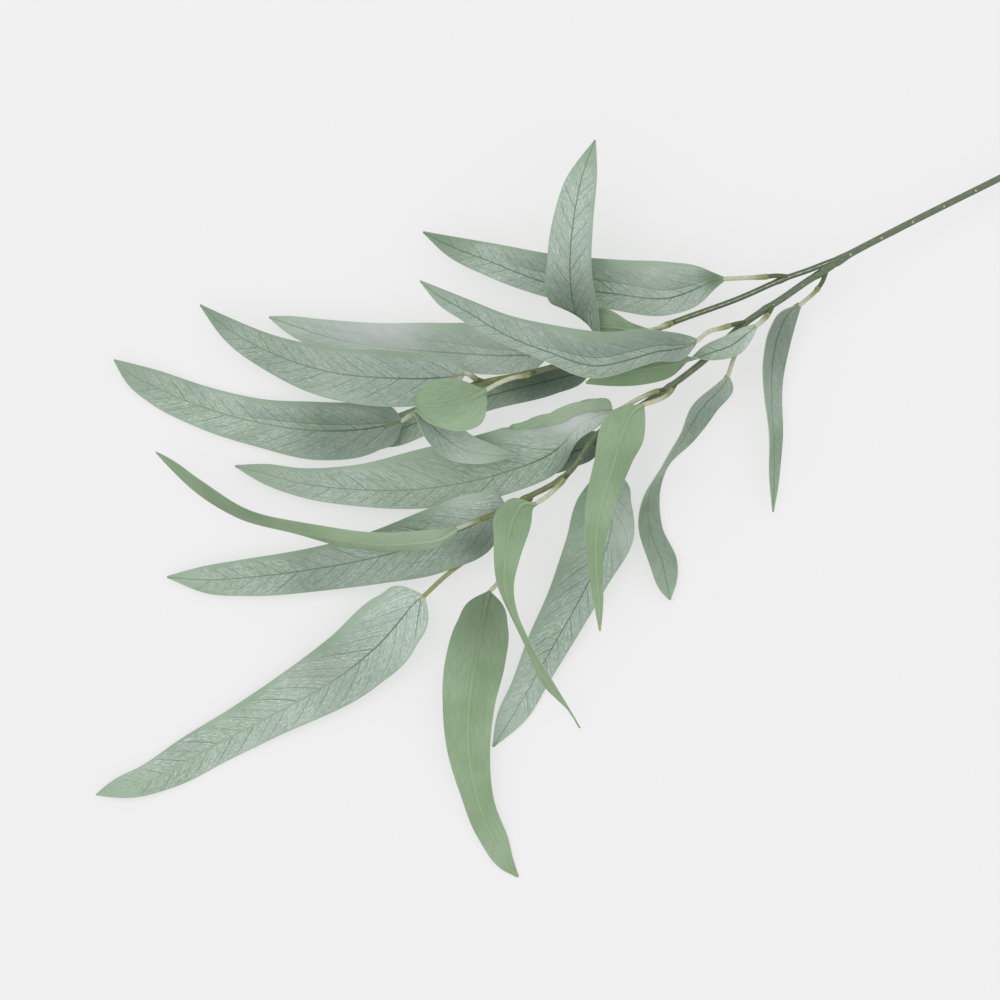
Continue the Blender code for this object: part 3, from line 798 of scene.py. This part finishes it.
# Where the right margin is folded back over the blade: (place along, share of the half blade).
FOLDED = {"leaf_12": [(0.0, 0.3), (0.015, 0.85), (0.04, 0.8), (0.076, 0.6), (0.117, 0.46),
                      (0.2, 0.26), (0.24, 0.17), (0.3, 0.0), (1.0, 0.0)]}
FOLD_RADIUS = 0.6 * MM
# Beside the rib some blades have a pressed crease: (how far from it in mm, where it ends along).
CREASED = {"leaf_01": (5.2, 0.8), "leaf_03": (3.8, 0.6), "leaf_05": (5.0, 1.0),
           "leaf_07": (3.4, 0.6)}
CREASE_ROUNDNESS = 0.7
CREASE_RISES, CREASE_FALLS = (0.02, 0.1), (0.7, 1.0)
CREASE_DROP = 0.4 * MM
CREASE_WIDTH = 4.0


def rib_aside(name, along):
    """How far off the middle the midrib runs here: nothing at the foot and at the tip."""
    return RIB_ASIDE.get(name, 0.0) * ramp(along, *ASIDE_RISES) * (1 - ramp(along, *ASIDE_FALLS))


def vein_count(point, i, middles, distances, step, draws):
    """The number of the side vein through a point, whole on a vein, with uneven steps."""
    last = len(middles) - 1
    i = max(i, STALK_ROWS)
    near = min(range(max(i - NEAR_ROWS, STALK_ROWS), min(i + NEAR_ROWS, last) + 1),
               key=lambda j: (middles[j] - point).length_squared)
    ahead = (middles[min(near + 1, last)] - middles[max(near - 1, STALK_ROWS)]).normalized()
    away = point - middles[near]
    forward = away.dot(ahead)
    off_rib = math.sqrt(max(away.length_squared - forward**2, 0.0))
    distance = distances[near] - distances[STALK_ROWS] + forward
    count = (distance - VEIN_SLANT * off_rib - VEIN_ARCH * off_rib**2) / step
    return count + sum(far * math.sin(often * count + draw)
                       for (far, often), draw in zip(VEIN_UNEVEN, draws))


def fold_at(name, along):
    """How much of the half blade is folded back over it, at a place along the leaf."""
    steps = FOLDED.get(name, [])
    for (start, first), (end, second) in zip(steps, steps[1:]):
        if start <= along <= end:
            return first + (second - first) * ramp(along, start, end)
    return 0.0


def crease_at(name, along):
    """How far from the rib a leaf's crease runs here, in mm, and how clearly it shows."""
    if name not in CREASED or along <= 0.0:
        return 0.0, 0.0
    away, end = CREASED[name]
    share = min(along / end, 1.0)
    clear = ramp(share, *CREASE_RISES) * (1 - ramp(share, *CREASE_FALLS))
    return away * math.sin(math.pi * share) ** CREASE_ROUNDNESS, clear


def rolled(across, half, fold):
    """Where a place across the sheet comes to lie when its right margin is folded back over it."""
    bend = FOLD_RADIUS / half
    start = 1 - bend
    if fold <= 0.0 or across <= start:
        return across, 0.0
    turned = (across - start) / bend
    if turned < math.pi:
        return start + bend * math.sin(turned), FOLD_RADIUS * (1 - math.cos(turned))
    return start - (across - start - math.pi * bend), 2 * FOLD_RADIUS


# %% One point of a leaf
STALK_DEPTH = 2.1 * MM
BLADE_THICKNESS = 0.4 * MM
THINNEST = 0.12 * MM
SHEET_STARTS = (-0.05, 0.04)
CROWDING = 1.6
CHANNEL_SHARE = 0.08
CHANNEL_ROUNDNESS = 1.5
WAVE_HEIGHT = 0.5 * MM
RIB_SUNK = 0.3
FOOT_LENGTH = 0.06
# From the stalk on, the rib loses these shares of its width and depth: (share, start, end).
RIB_NARROWS = [(0.45, 0.0, 0.12), (0.25, 0.1, 1.0)]
RIB_THINS = [(0.66, 0.0, 0.12), (0.16, 0.1, 0.9)]


def left_of(along, losses):
    """What is left of 1 here, after each loss."""
    return 1 - sum(share * ramp(along, start, end) for share, start, end in losses)


def leaf_point(row, ahead, column, wave, fold, aside):
    """A point of the leaf's middle surface, its flat place, thickness, and places off and across."""
    left, right, along = row
    half = (right - left).length / 2
    blade = ramp(along, 0.0, FOOT_LENGTH)
    round_place = math.sin(column * math.pi / 2)
    flat_place = math.copysign(abs(column) ** CROWDING, column)
    across = round_place * (1 - blade) + flat_place * blade
    if across > 0:
        across *= 1 + fold
    reached, lift = rolled(across, half, fold)
    shifted = reached + aside * max(1 - reached**2, 0.0)
    flat = (left + right) / 2 + (right - left) * (shifted / 2)
    off_rib = abs(across) * half

    reach = STALK_WIDTH / 2 * left_of(along, RIB_NARROWS)
    rib = STALK_DEPTH * left_of(along, RIB_THINS) * math.sqrt(max(0.0, 1 - (off_rib / reach) ** 2))
    sheet = BLADE_THICKNESS * ramp(along, *SHEET_STARTS)
    thickness = max((rib**3 + sheet**3) ** (1 / 3), THINNEST)
    if along <= 0.0:
        return flat.copy(), flat, thickness, off_rib, across

    up = (right - left).cross(ahead).normalized()
    ripple = math.sin(math.pi * along) * math.sin(wave[0] * along + wave[1] * reached)
    rise = WAVE_HEIGHT * reached**2 * ripple
    channel = half * 2 * CHANNEL_SHARE * (1 - abs(reached) ** CHANNEL_ROUNDNESS)
    point = flat + up * (rise - channel - (thickness - sheet) * RIB_SUNK + lift)
    return point, flat, thickness, off_rib, across


# %% [markdown]
# ## Making the twenty leaves
#
# Each leaf is one grid, bent, marked and thickened. The marks paint shade where a leaf lies deep
# in the branch, under other leaves. They make it paler with painted light and where its silver is
# paler, and they say where it is greener. They and the two UV maps are written before Solidify,
# which carries them to both sides. The side veins of one half stand between those of the other,
# as on the real leaf.

# %% The leaves' marks
# A mark is (x, y, reach, strength). In the shade marks a positive strength is painted shade.
# A negative strength makes the leaf paler: painted light, and the paler silver of some patches.
PAINTED_SHADE_AND_LIGHT_MARKS = {
    "leaf_01": [(715, 281, 12, 0.3), (690, 292, 25, 0.12), (575, 268, 40, 0.15),
                (640, 282, 28, -0.25), (440, 240, 30, 0.35)],
    "leaf_02": [(575, 320, 40, 0.5), (572, 285, 35, 0.35)],
    "leaf_03": [(690, 345, 25, 0.3), (640, 350, 60, 0.38), (520, 335, 60, 0.22),
                (450, 298, 40, 0.2)],
    "leaf_04": [(785, 320, 40, 0.45), (775, 360, 50, 0.35)],
    "leaf_05": [(485, 345, 35, -0.3), (382, 348, 55, -0.95), (300, 325, 40, -0.2)],
    "leaf_06": [(400, 380, 60, 0.25), (290, 360, 60, 0.25), (215, 318, 30, 0.35)],
    "leaf_07": [(405, 425, 30, 0.45), (345, 440, 60, 0.6), (140, 374, 35, 0.25)],
    "leaf_08": [(565, 374, 45, 0.9), (520, 382, 30, 0.5), (500, 402, 40, 0.1)],
    "leaf_09": [(452, 398, 32, 0.35), (470, 450, 32, -0.45)],
    "leaf_10": [(728, 345, 25, -0.08), (650, 370, 60, 0.4)],
    "leaf_11": [(700, 420, 50, 0.4), (655, 530, 60, 0.4)],
    "leaf_12": [(588, 450, 26, 0.8), (565, 468, 25, 0.4), (580, 417, 26, -1.0),
                (545, 430, 30, -0.3), (440, 480, 45, -0.12), (300, 482, 45, -0.12)],
    "leaf_13": [(625, 440, 40, 0.15)],
    "leaf_14": [(592, 458, 28, 0.9)],
    "leaf_15": [(515, 530, 45, 0.2)],
    "leaf_16": [(430, 540, 40, -0.8), (235, 505, 60, 0.4)],
    "leaf_17": [(495, 525, 40, 0.6), (477, 547, 24, 0.5), (430, 575, 40, 0.3),
                (470, 502, 30, -0.5), (330, 570, 60, 0.4)],
    "leaf_18": [(330, 668, 35, 0.25)],
    "leaf_19": [(480, 600, 45, 0.5), (478, 640, 50, 0.3)],
    "leaf_20": [(600, 470, 30, 0.3), (562, 580, 32, 0.35), (623, 535, 30, -0.35),
                (515, 705, 50, -0.2)],
}
GREEN_MARKS = {
    "leaf_01": [(716, 279, 13, 1.0)],
    "leaf_04": [(775, 445, 60, 0.5)],
    "leaf_09": [(490, 455, 26, 0.7)],
    "leaf_11": [(655, 525, 60, 0.55)],
    "leaf_12": [(430, 455, 40, 0.4), (552, 430, 14, 0.5)],
    "leaf_20": [(575, 500, 50, 0.7)],
}
# How strongly the midrib is a pale band with a fainter line, past the first third of the blade.
SPLIT_RIB = {"leaf_06": 0.5, "leaf_07": 0.7, "leaf_12": 0.5, "leaf_17": 0.3, "leaf_18": 1.0}
# How far the stalk's colour runs on along the midrib, as a share of the blade.
USUAL_STRIP = 0.07
STRIP_LENGTH = {"leaf_05": 0.02, "leaf_12": 0.17, "leaf_18": 0.02}
MARK_FALLOFF = 2.0


def mark_at(point, marks):
    """How strongly the marks reach a point, from -1 to 1."""
    total = 0.0
    for x, y, reach, strength in marks:
        centre = place((x, y, point.z / MM))
        away = (point - centre).length / (reach * SHEET_SQUARE)
        total += strength * math.exp(-(away**MARK_FALLOFF))
    return min(max(total, -1.0), 1.0)


print(sum(map(len, PAINTED_SHADE_AND_LIGHT_MARKS.values())), "marks of shade")

# %% Bend the sheet
WAVES_PER_BLADE = (2.0, 3.2)
PUCKER = 0.1 * MM
OLIVE_UNTIL = 0.12


def bend_sheet(name, sheet, thick, rows, draw, vein_draw):
    """Moves the grid's points into the leaf's form, and returns what its maps need at each."""
    wave = (2 * math.pi * draw.uniform(*WAVES_PER_BLADE), draw.uniform(-math.pi, math.pi))
    draws = [vein_draw.uniform(0, 2 * math.pi) for _ in VEIN_UNEVEN]
    middles = [(left + right) / 2 + (right - left) * (rib_aside(name, along) / 2)
               for left, right, along in rows]
    distances = lengths_along(middles)
    step = max((right - left).length for left, right, _ in rows) * VEIN_STEP_SHARE
    stalk_length = distances[STALK_ROWS]
    stub = stub_length(name, stalk_length)

    kept = {}
    marks, strips = [], []
    for vertex in sheet.vertices:
        i = round((vertex.co.x + 1) / 2 * (len(rows) - 1))
        along = rows[i][2]
        ahead = middles[min(i + 1, len(rows) - 1)] - middles[max(i - 1, 0)]
        point, flat, thickness, off_rib, across = leaf_point(
            rows[i], ahead, vertex.co.y, wave, fold_at(name, along), rib_aside(name, along))
        count = vein_count(flat, i, middles, distances, step, draws)
        away, clear = crease_at(name, along)
        from_crease = math.copysign(off_rib / MM, across) - away
        if along > 0.0:
            up = (rows[i][1] - rows[i][0]).cross(ahead).normalized()
            puffed = ramp(along, 0.0, FOOT_LENGTH) * math.sin(math.pi * min(abs(across), 1.0))
            point -= up * (PUCKER * math.cos(2 * math.pi * count) * puffed)
            point -= up * (CREASE_DROP * clear * ramp(from_crease, 0.0, CREASE_WIDTH))
            point.z = max(point.z, thickness / 2)
        past_stub = (distances[i] - stub) / min(stalk_length, PLUGGED_STALK)
        if name in LONG_STUBS:
            past_stub = min(past_stub, OLIVE_UNTIL)
        kept[vertex.index] = (along, across, count, off_rib / MM, past_stub)
        vertex.co = point
        thick.add([vertex.index], thickness / STALK_DEPTH, "REPLACE")
        marks += [mark_at(point, PAINTED_SHADE_AND_LIGHT_MARKS.get(name, [])), mark_at(point, GREEN_MARKS.get(name, [])),
                  SPLIT_RIB.get(name, 0.0)]
        strips += [STRIP_LENGTH.get(name, USUAL_STRIP), from_crease, clear]
    keep_at_points(sheet, "marks", marks)
    keep_at_points(sheet, "strip", strips)
    return kept


# %% Map and thicken the sheet
FLAT_ANGLE = math.radians(60)


def map_sheet(sheet, kept):
    """Writes the maps: the place on the blade, and the count of veins or the way past the stub."""
    clear_maps(sheet)
    sheet.uv_layers.new(name="share")
    sheet.uv_layers.new(name="veins")
    share, veins = sheet.uv_layers["share"], sheet.uv_layers["veins"]
    for face in sheet.polygons:
        later_side = 0.5 if sum(kept[index][1] for index in face.vertices) > 0 else 0.0
        on_stalk = max(kept[index][0] for index in face.vertices) <= 0.0
        for loop in face.loop_indices:
            along, across, count, off_rib, past_stub = kept[sheet.loops[loop].vertex_index]
            share.data[loop].uv = (along, (across + 1) / 2)
            veins.data[loop].uv = (past_stub if on_stalk else count + later_side, off_rib)


def thicken(piece, thick):
    """Gives the sheet its thickness, with the upper side, the stalk and the edge set apart."""
    for finish in LEAF_FINISHES:
        piece.data.materials.append(finish)
    shell = piece.modifiers.new("Thickness", "SOLIDIFY")
    shell.thickness = STALK_DEPTH
    shell.offset = 0
    shell.vertex_group = thick.name
    shell.material_offset = UPPER
    shell.material_offset_rim = EDGE
    select_only(piece)
    bpy.ops.object.modifier_apply(modifier=shell.name)
    share = piece.data.uv_layers["share"]
    for face in piece.data.polygons:
        if max(share.data[loop].uv[0] for loop in face.loop_indices) <= 0.0:
            face.material_index = STALK
    bpy.ops.object.shade_smooth_by_angle(angle=FLAT_ANGLE)


# %% Make the leaves
COLUMNS = 32
WAVE_SEED = 7
VEIN_SEED = 23


def add_leaf(name, draw, vein_draw):
    rows = leaf_sections(name)
    bpy.ops.mesh.primitive_grid_add(x_subdivisions=len(rows) - 1, y_subdivisions=COLUMNS, size=2)
    piece = named(name + "_blade")
    thick = piece.vertex_groups.new(name="thickness")
    kept = bend_sheet(name, piece.data, thick, rows, draw, vein_draw)
    map_sheet(piece.data, kept)
    thicken(piece, thick)
    dress(piece, "leaf", name)
    return piece


draw = random.Random(WAVE_SEED)
vein_draw = random.Random(VEIN_SEED)
for name in LEAVES:
    made = add_leaf(name, draw, vein_draw)
print("a leaf has", len(made.data.polygons), "faces")

# %% [markdown]
# ## The stems
#
# The stems are moulded tubes that swell a little where a stalk leaves them. A curve with a
# bevel would give the tube, but not the thin groove along the upper branch or a map for the
# dots. So a cylinder is added, its long edges are subdivided into rings, and each ring is moved
# to its place along the stem. The "skin" map gives the distance along in millimetres and the
# angle round the stem, with its seam underneath.

# %% Finish of the stems
STEM_GREEN = tint(112, 126, 102)
STEM_DARK = tint(88, 104, 80)
# Painted shade along the stem's flanks, and the colour of the dark lines beside the groove.
STEM_PAINTED_SHADE_AND_GROOVE_EDGE = tint(78, 92, 66)
STEM_OLIVE = tint(128, 138, 88)
OLIVE_DARK = tint(98, 108, 64)
DOT_PALE = tint(192, 204, 182)
# A painted highlight along the top of the grooved branch.
LANE_PAINTED_HIGHLIGHT = tint(152, 162, 142)
DOT_STEP = 17.7
FIRST_DOT = 0.31
DOT_ANGLE = 0.53
ROUND_THE_STEM = 10.0


def stem_finish():
    made = Finish("stem skin", 0.52)
    distance, angle = made.uv("skin")
    olive, groove, dotted = made.attribute("marks")
    grain = made.noise(1.0, made.join(made.times(distance, 0.3), made.times(angle, 22.0)))
    colour = made.mix(made.fade(grain, 0.35, 0.65), STEM_GREEN, STEM_DARK)
    from_top = made.math("ABSOLUTE", made.math("SUBTRACT", angle, 0.5))
    # Painted shade: both flanks of the stem are darker, away from its top.
    painted_side_shade = made.rest(made.fade(from_top, 0.1, 0.22))
    colour = made.mix(made.times(painted_side_shade, 0.6), colour, STEM_PAINTED_SHADE_AND_GROOVE_EDGE)
    colour = made.mix(olive, colour, made.mix(made.fade(grain, 0.4, 0.6), STEM_OLIVE, OLIVE_DARK))

    lane = made.times(made.fade(from_top, 0.012, 0.038), groove)
    beside = made.math("SUBTRACT", made.fade(from_top, 0.12, 0.2), made.fade(from_top, 0.03, 0.08))
    colour = made.mix(made.times(beside, made.times(groove, 0.8)), colour, STEM_PAINTED_SHADE_AND_GROOVE_EDGE)
    # Painted highlight: the lane along the top of the branch is paler.
    colour = made.mix(made.times(lane, 0.5), colour, LANE_PAINTED_HIGHLIGHT)
    gaps = made.fade(made.noise(1.0, made.join(made.times(distance, 0.36), 3.0), 4.0), 0.45, 0.55)
    colour = made.mix(made.times(made.rest(gaps), made.times(lane, 0.7)), colour, DOT_PALE)

    step = made.math("SUBTRACT", made.math("DIVIDE", distance, DOT_STEP), FIRST_DOT)
    apart = made.times(made.math("PINGPONG", step, 0.5), DOT_STEP)
    aside = made.times(made.math("SUBTRACT", angle, DOT_ANGLE), ROUND_THE_STEM)
    reach = made.math("SQRT", made.scaled(apart, apart, made.times(aside, aside)))
    dots = made.times(made.fade(reach, 0.35, 0.7), dotted)
    return made.finish(made.mix(dots, colour, DOT_PALE), made.math("ADD", grain, dots), 0.1 * MM)


STEM_SKIN = stem_finish()

# %% Make the stems
STEM_SIDES = 20
CUTS_AT_ONCE = 60
SAME_HEIGHT = 1e-6
# Marks where a branch is olive, and where it has the thin groove.
OLIVE_FROM = {"main_stem": [],
              "upper_branch": [(655, 330, 50, 0.9), (490, 382, 60, 1.0), (430, 404, 50, 0.8)],
              "lower_branch": [(560, 476, 50, 0.6), (497, 513, 50, 1.0), (720, 345, 60, 0.2)]}
GROOVED = {"upper_branch": [(815, 268, 50, 1.0), (760, 290, 60, 1.0), (715, 307, 35, 1.0)]}
GROOVE_DEPTH = 0.12
GROOVE_HALF_ANGLE = 0.35
# How clearly the rows of pale dots show.
DOTTED = {"main_stem": 0.85, "upper_branch": 0.0, "lower_branch": 0.3}
PLUMPER = {"upper_branch": 1.12}
STEM_ANGLE = math.radians(40)


def cut_into_rings(piece, rings):
    """Subdivides the long edges of a cylinder until it has at least this many rings."""
    mesh = piece.data
    while len(mesh.vertices) < STEM_SIDES * rings:
        bpy.ops.object.mode_set(mode="EDIT")
        bpy.ops.mesh.select_mode(type="EDGE")
        bpy.ops.mesh.select_all(action="DESELECT")
        bpy.ops.object.mode_set(mode="OBJECT")
        for edge in mesh.edges:
            low, high = (mesh.vertices[index].co.z for index in edge.vertices)
            edge.select = abs(high - low) > SAME_HEIGHT
        bpy.ops.object.mode_set(mode="EDIT")
        wanted = max(round(rings / max(len(mesh.vertices) // STEM_SIDES - 1, 1)) - 1, 1)
        bpy.ops.mesh.subdivide(number_cuts=min(wanted, CUTS_AT_ONCE))
        bpy.ops.object.mode_set(mode="OBJECT")


def bend_stem(name, mesh):
    """Moves the rings along the stem, and returns each point's distance and angle."""
    points, radii = stems[name]
    feet = [seats[leaf][0] for leaf in LEAVES if LEAVES[leaf]["stem"] == name]
    distances = lengths_along(points)
    length = distances[-1]
    kept = {}
    marks = []
    for vertex in mesh.vertices:
        at = (vertex.co.z + 1) / 2 * length
        angle = math.atan2(vertex.co.x, -vertex.co.y)
        out = math.hypot(vertex.co.x, vertex.co.y)
        centre = read_curve(points, distances, at)
        ahead = read_curve(points, distances, min(at + MM, length))
        ahead = (ahead - read_curve(points, distances, max(at - MM, 0.0))).normalized()
        side = ahead.cross(Vector((0, 0, 1))).normalized()
        up = side.cross(ahead)
        nearest = min(((centre - foot).length for foot in feet), default=1.0)
        groove = mark_at(centre, GROOVED.get(name, []))
        turn = abs(abs(angle) - math.pi)
        radius = read_curve(radii, distances, at) * PLUMPER.get(name, 1.0) * out
        radius *= 1 + NODE_SWELLING * math.exp(-((nearest / NODE_REACH) ** 2))
        radius *= 1 - GROOVE_DEPTH * groove * math.exp(-((turn / GROOVE_HALF_ANGLE) ** 2))
        vertex.co = centre + side * (math.sin(angle) * radius) - up * (math.cos(angle) * radius)
        kept[vertex.index] = (at / MM, angle)
        marks += [mark_at(centre, OLIVE_FROM[name]), groove, DOTTED[name]]
    keep_at_points(mesh, "marks", marks)
    return kept


def map_stem(mesh, kept):
    """Writes the skin map, with its seam where the angle starts again."""
    clear_maps(mesh)
    skin = mesh.uv_layers.new(name="skin")
    for face in mesh.polygons:
        angles = [kept[index][1] % (2 * math.pi) for index in face.vertices]
        wraps = max(angles) - min(angles) > math.pi
        for loop in face.loop_indices:
            distance, angle = kept[mesh.loops[loop].vertex_index]
            angle %= 2 * math.pi
            if wraps and angle < math.pi:
                angle += 2 * math.pi
            skin.data[loop].uv = (distance, angle / (2 * math.pi))


def add_stem(name):
    bpy.ops.mesh.primitive_cylinder_add(vertices=STEM_SIDES, radius=1, depth=2, end_fill_type="TRIFAN")
    piece = named(name + "_skin")
    select_only(piece)
    cut_into_rings(piece, len(stems[name][0]) - 1)
    map_stem(piece.data, bend_stem(name, piece.data))
    piece.data.materials.append(STEM_SKIN)
    face_outwards()
    bpy.ops.object.shade_smooth_by_angle(angle=STEM_ANGLE)
    dress(piece, "stem", name)
    return piece


for name in STEMS:
    piece = add_stem(name)
    print(name, "has", len(piece.data.polygons), "faces")

# %% [markdown]
# ## Plugged ends and the knuckle
#
# Each leaf's hollow stalk is pushed over a stub of the branch, and ends there in a rounded lip,
# which is one short ring. It is modelled once, by extruding a disc ring by ring, and copied to
# every stalk. The two branches leave the main stem through a smooth knuckle, a squashed ball.

# %% Model one lip
LIP_SIDES = 18
# Each ring is (distance along the stalk, radius), in mm.
LIP_RINGS = [(-0.7, 0.9), (-0.6, 1.2), (-0.3, 1.36), (0.2, 1.44), (0.9, 1.46), (1.5, 1.42),
             (1.9, 1.3), (2.1, 0.9)]
LIP_ANGLE = math.radians(50)
LIP_LIGHT = tint(156, 162, 112)
LIP_DARK = tint(128, 134, 84)


def moulded(name, light, dark):
    """A plain moulded finish with a fine grain."""
    made = Finish(name, 0.5)
    grain = made.noise(420.0)
    return made.finish(made.mix(made.fade(grain, 0.3, 0.7), light, dark), grain, 0.1 * MM)


def add_lip():
    first = LIP_RINGS[0]
    bpy.ops.mesh.primitive_circle_add(vertices=LIP_SIDES, radius=first[1] * MM, fill_type="NGON",
                                      location=(0, 0, first[0] * MM))
    piece = named("lip")
    select_only(piece)
    bpy.ops.object.transform_apply(location=True, rotation=True, scale=True)
    bpy.ops.object.mode_set(mode="EDIT")
    bpy.ops.mesh.select_all(action="SELECT")
    for (before, radius_before), (after, radius_after) in zip(LIP_RINGS, LIP_RINGS[1:]):
        bpy.ops.mesh.extrude_region_move(TRANSFORM_OT_translate={"value": (0, 0, (after - before) * MM)})
        share = radius_after / radius_before
        bpy.ops.transform.resize(value=(share, share, 1))
    face_outwards()
    bpy.ops.object.shade_smooth_by_angle(angle=LIP_ANGLE)
    piece.data.materials.append(moulded("stalk lip", LIP_LIGHT, LIP_DARK))
    return piece


pattern = add_lip()
print("a lip has", len(pattern.data.polygons), "faces")

# %% Set a lip on every stalk


def set_lip(name):
    """A copy of the lip where the stalk is pushed over its stub, turned to run along it."""
    path = stalk_path(name)
    knots = lengths_along(path)
    at = stub_length(name, knots[-1])
    ahead = (read_curve(path, knots, at + MM) - read_curve(path, knots, at - MM)).normalized()
    turn = ahead.to_track_quat("Z", "Y").to_matrix().to_4x4()
    mesh = pattern.data.copy()
    mesh.transform(Matrix.Translation(read_curve(path, knots, at)) @ turn)
    piece = bpy.data.objects.new("lip_" + name, mesh)
    bpy.context.scene.collection.objects.link(piece)
    dress(piece, "stem")


for name in LEAVES:
    set_lip(name)
bpy.data.objects.remove(pattern)

# %% The knuckle at the fork
KNUCKLE_HALF = (4.5 * MM, 1.95 * MM, 1.9 * MM)
KNUCKLE_AHEAD = 0.8 * MM
KNUCKLE_LIGHT = tint(108, 124, 98)


def add_knuckle():
    bpy.ops.mesh.primitive_uv_sphere_add(segments=28, ring_count=18, radius=1)
    piece = named("fork_knuckle")
    fork = stems["main_stem"][0][-1]
    ahead = (fork - stems["main_stem"][0][-5]).normalized()
    turn = ahead.to_track_quat("X", "Z").to_matrix().to_4x4()
    size = Matrix.Diagonal((*KNUCKLE_HALF, 1.0))
    piece.data.transform(Matrix.Translation(fork + ahead * KNUCKLE_AHEAD) @ turn @ size)
    piece.data.materials.append(moulded("knuckle", KNUCKLE_LIGHT, STEM_DARK))
    select_only(piece)
    bpy.ops.object.shade_smooth()
    dress(piece, "stem")
    return piece


knuckle = add_knuckle()
print("the knuckle has", len(knuckle.data.polygons), "faces")

# %% [markdown]
# ## Floor, light and camera
#
# The branch lies on a plain pale surface in soft light from all round, with a little more from
# the upper left. The camera looks straight down through a long lens, from the point above the
# sheet that the branch was drawn for.

# %% Floor and light
FLOOR_SIZE = 14.0
FLOOR_DROP = 0.3 * MM
FLOOR_GLOW = 0.59
FLOOR_GREYS = ((0.298, 0.298, 0.298, 1), (0.302, 0.302, 0.302, 1))
WHITE = (1.0, 1.0, 1.0, 1.0)
SKY_LIGHT = 0.86
LAMP_PLACE = (-2.0, 1.8, 5.0)
LAMP_AIM = (-0.09, 0, 0)
LAMP_SIZE = 3.5
LAMP_POWER = 40.0


def floor():
    bpy.ops.mesh.primitive_plane_add(size=FLOOR_SIZE, location=(0, 0, -FLOOR_DROP))
    piece = named("floor")
    made = Finish("floor paint", 0.9)
    made.shader.inputs["Specular IOR Level"].default_value = 0.0
    made.shader.inputs["Emission Color"].default_value = WHITE
    made.shader.inputs["Emission Strength"].default_value = FLOOR_GLOW
    piece.data.materials.append(made.finish(made.mix(made.noise(40.0), *FLOOR_GREYS)))


def light():
    world = bpy.data.worlds.new("studio")
    bpy.context.scene.world = world
    world.use_nodes = True
    sky = world.node_tree.nodes["Background"]
    sky.inputs["Color"].default_value = WHITE
    sky.inputs["Strength"].default_value = SKY_LIGHT
    bpy.ops.object.light_add(type="AREA", location=LAMP_PLACE)
    lamp = bpy.context.object
    lamp.name = "softbox"
    lamp.data.shape = "DISK"
    lamp.data.size = LAMP_SIZE
    lamp.data.energy = LAMP_POWER
    lamp.rotation_mode = "QUATERNION"
    lamp.rotation_quaternion = (lamp.location - Vector(LAMP_AIM)).to_track_quat("Z", "Y")
    bpy.context.scene.view_settings.view_transform = "Standard"


floor()
light()

# %% Camera
FRAME_WIDTH = 1000 * SHEET_SQUARE
SENSOR = 36.0
SIGHT = 100.0


def camera():
    bpy.ops.object.camera_add()
    eye = bpy.context.object
    eye.name = "eye"
    eye.data.sensor_width = SENSOR
    eye.data.lens = SENSOR * EYE_HEIGHT / FRAME_WIDTH
    eye.data.clip_end = SIGHT
    below = place((*EYE_SQUARE, 0))
    eye.location = (below.x, below.y, EYE_HEIGHT)
    eye.rotation_euler = (0, 0, 0)
    bpy.context.scene.camera = eye
    return eye


eye = camera()
print("the lens is", round(eye.data.lens), "mm")
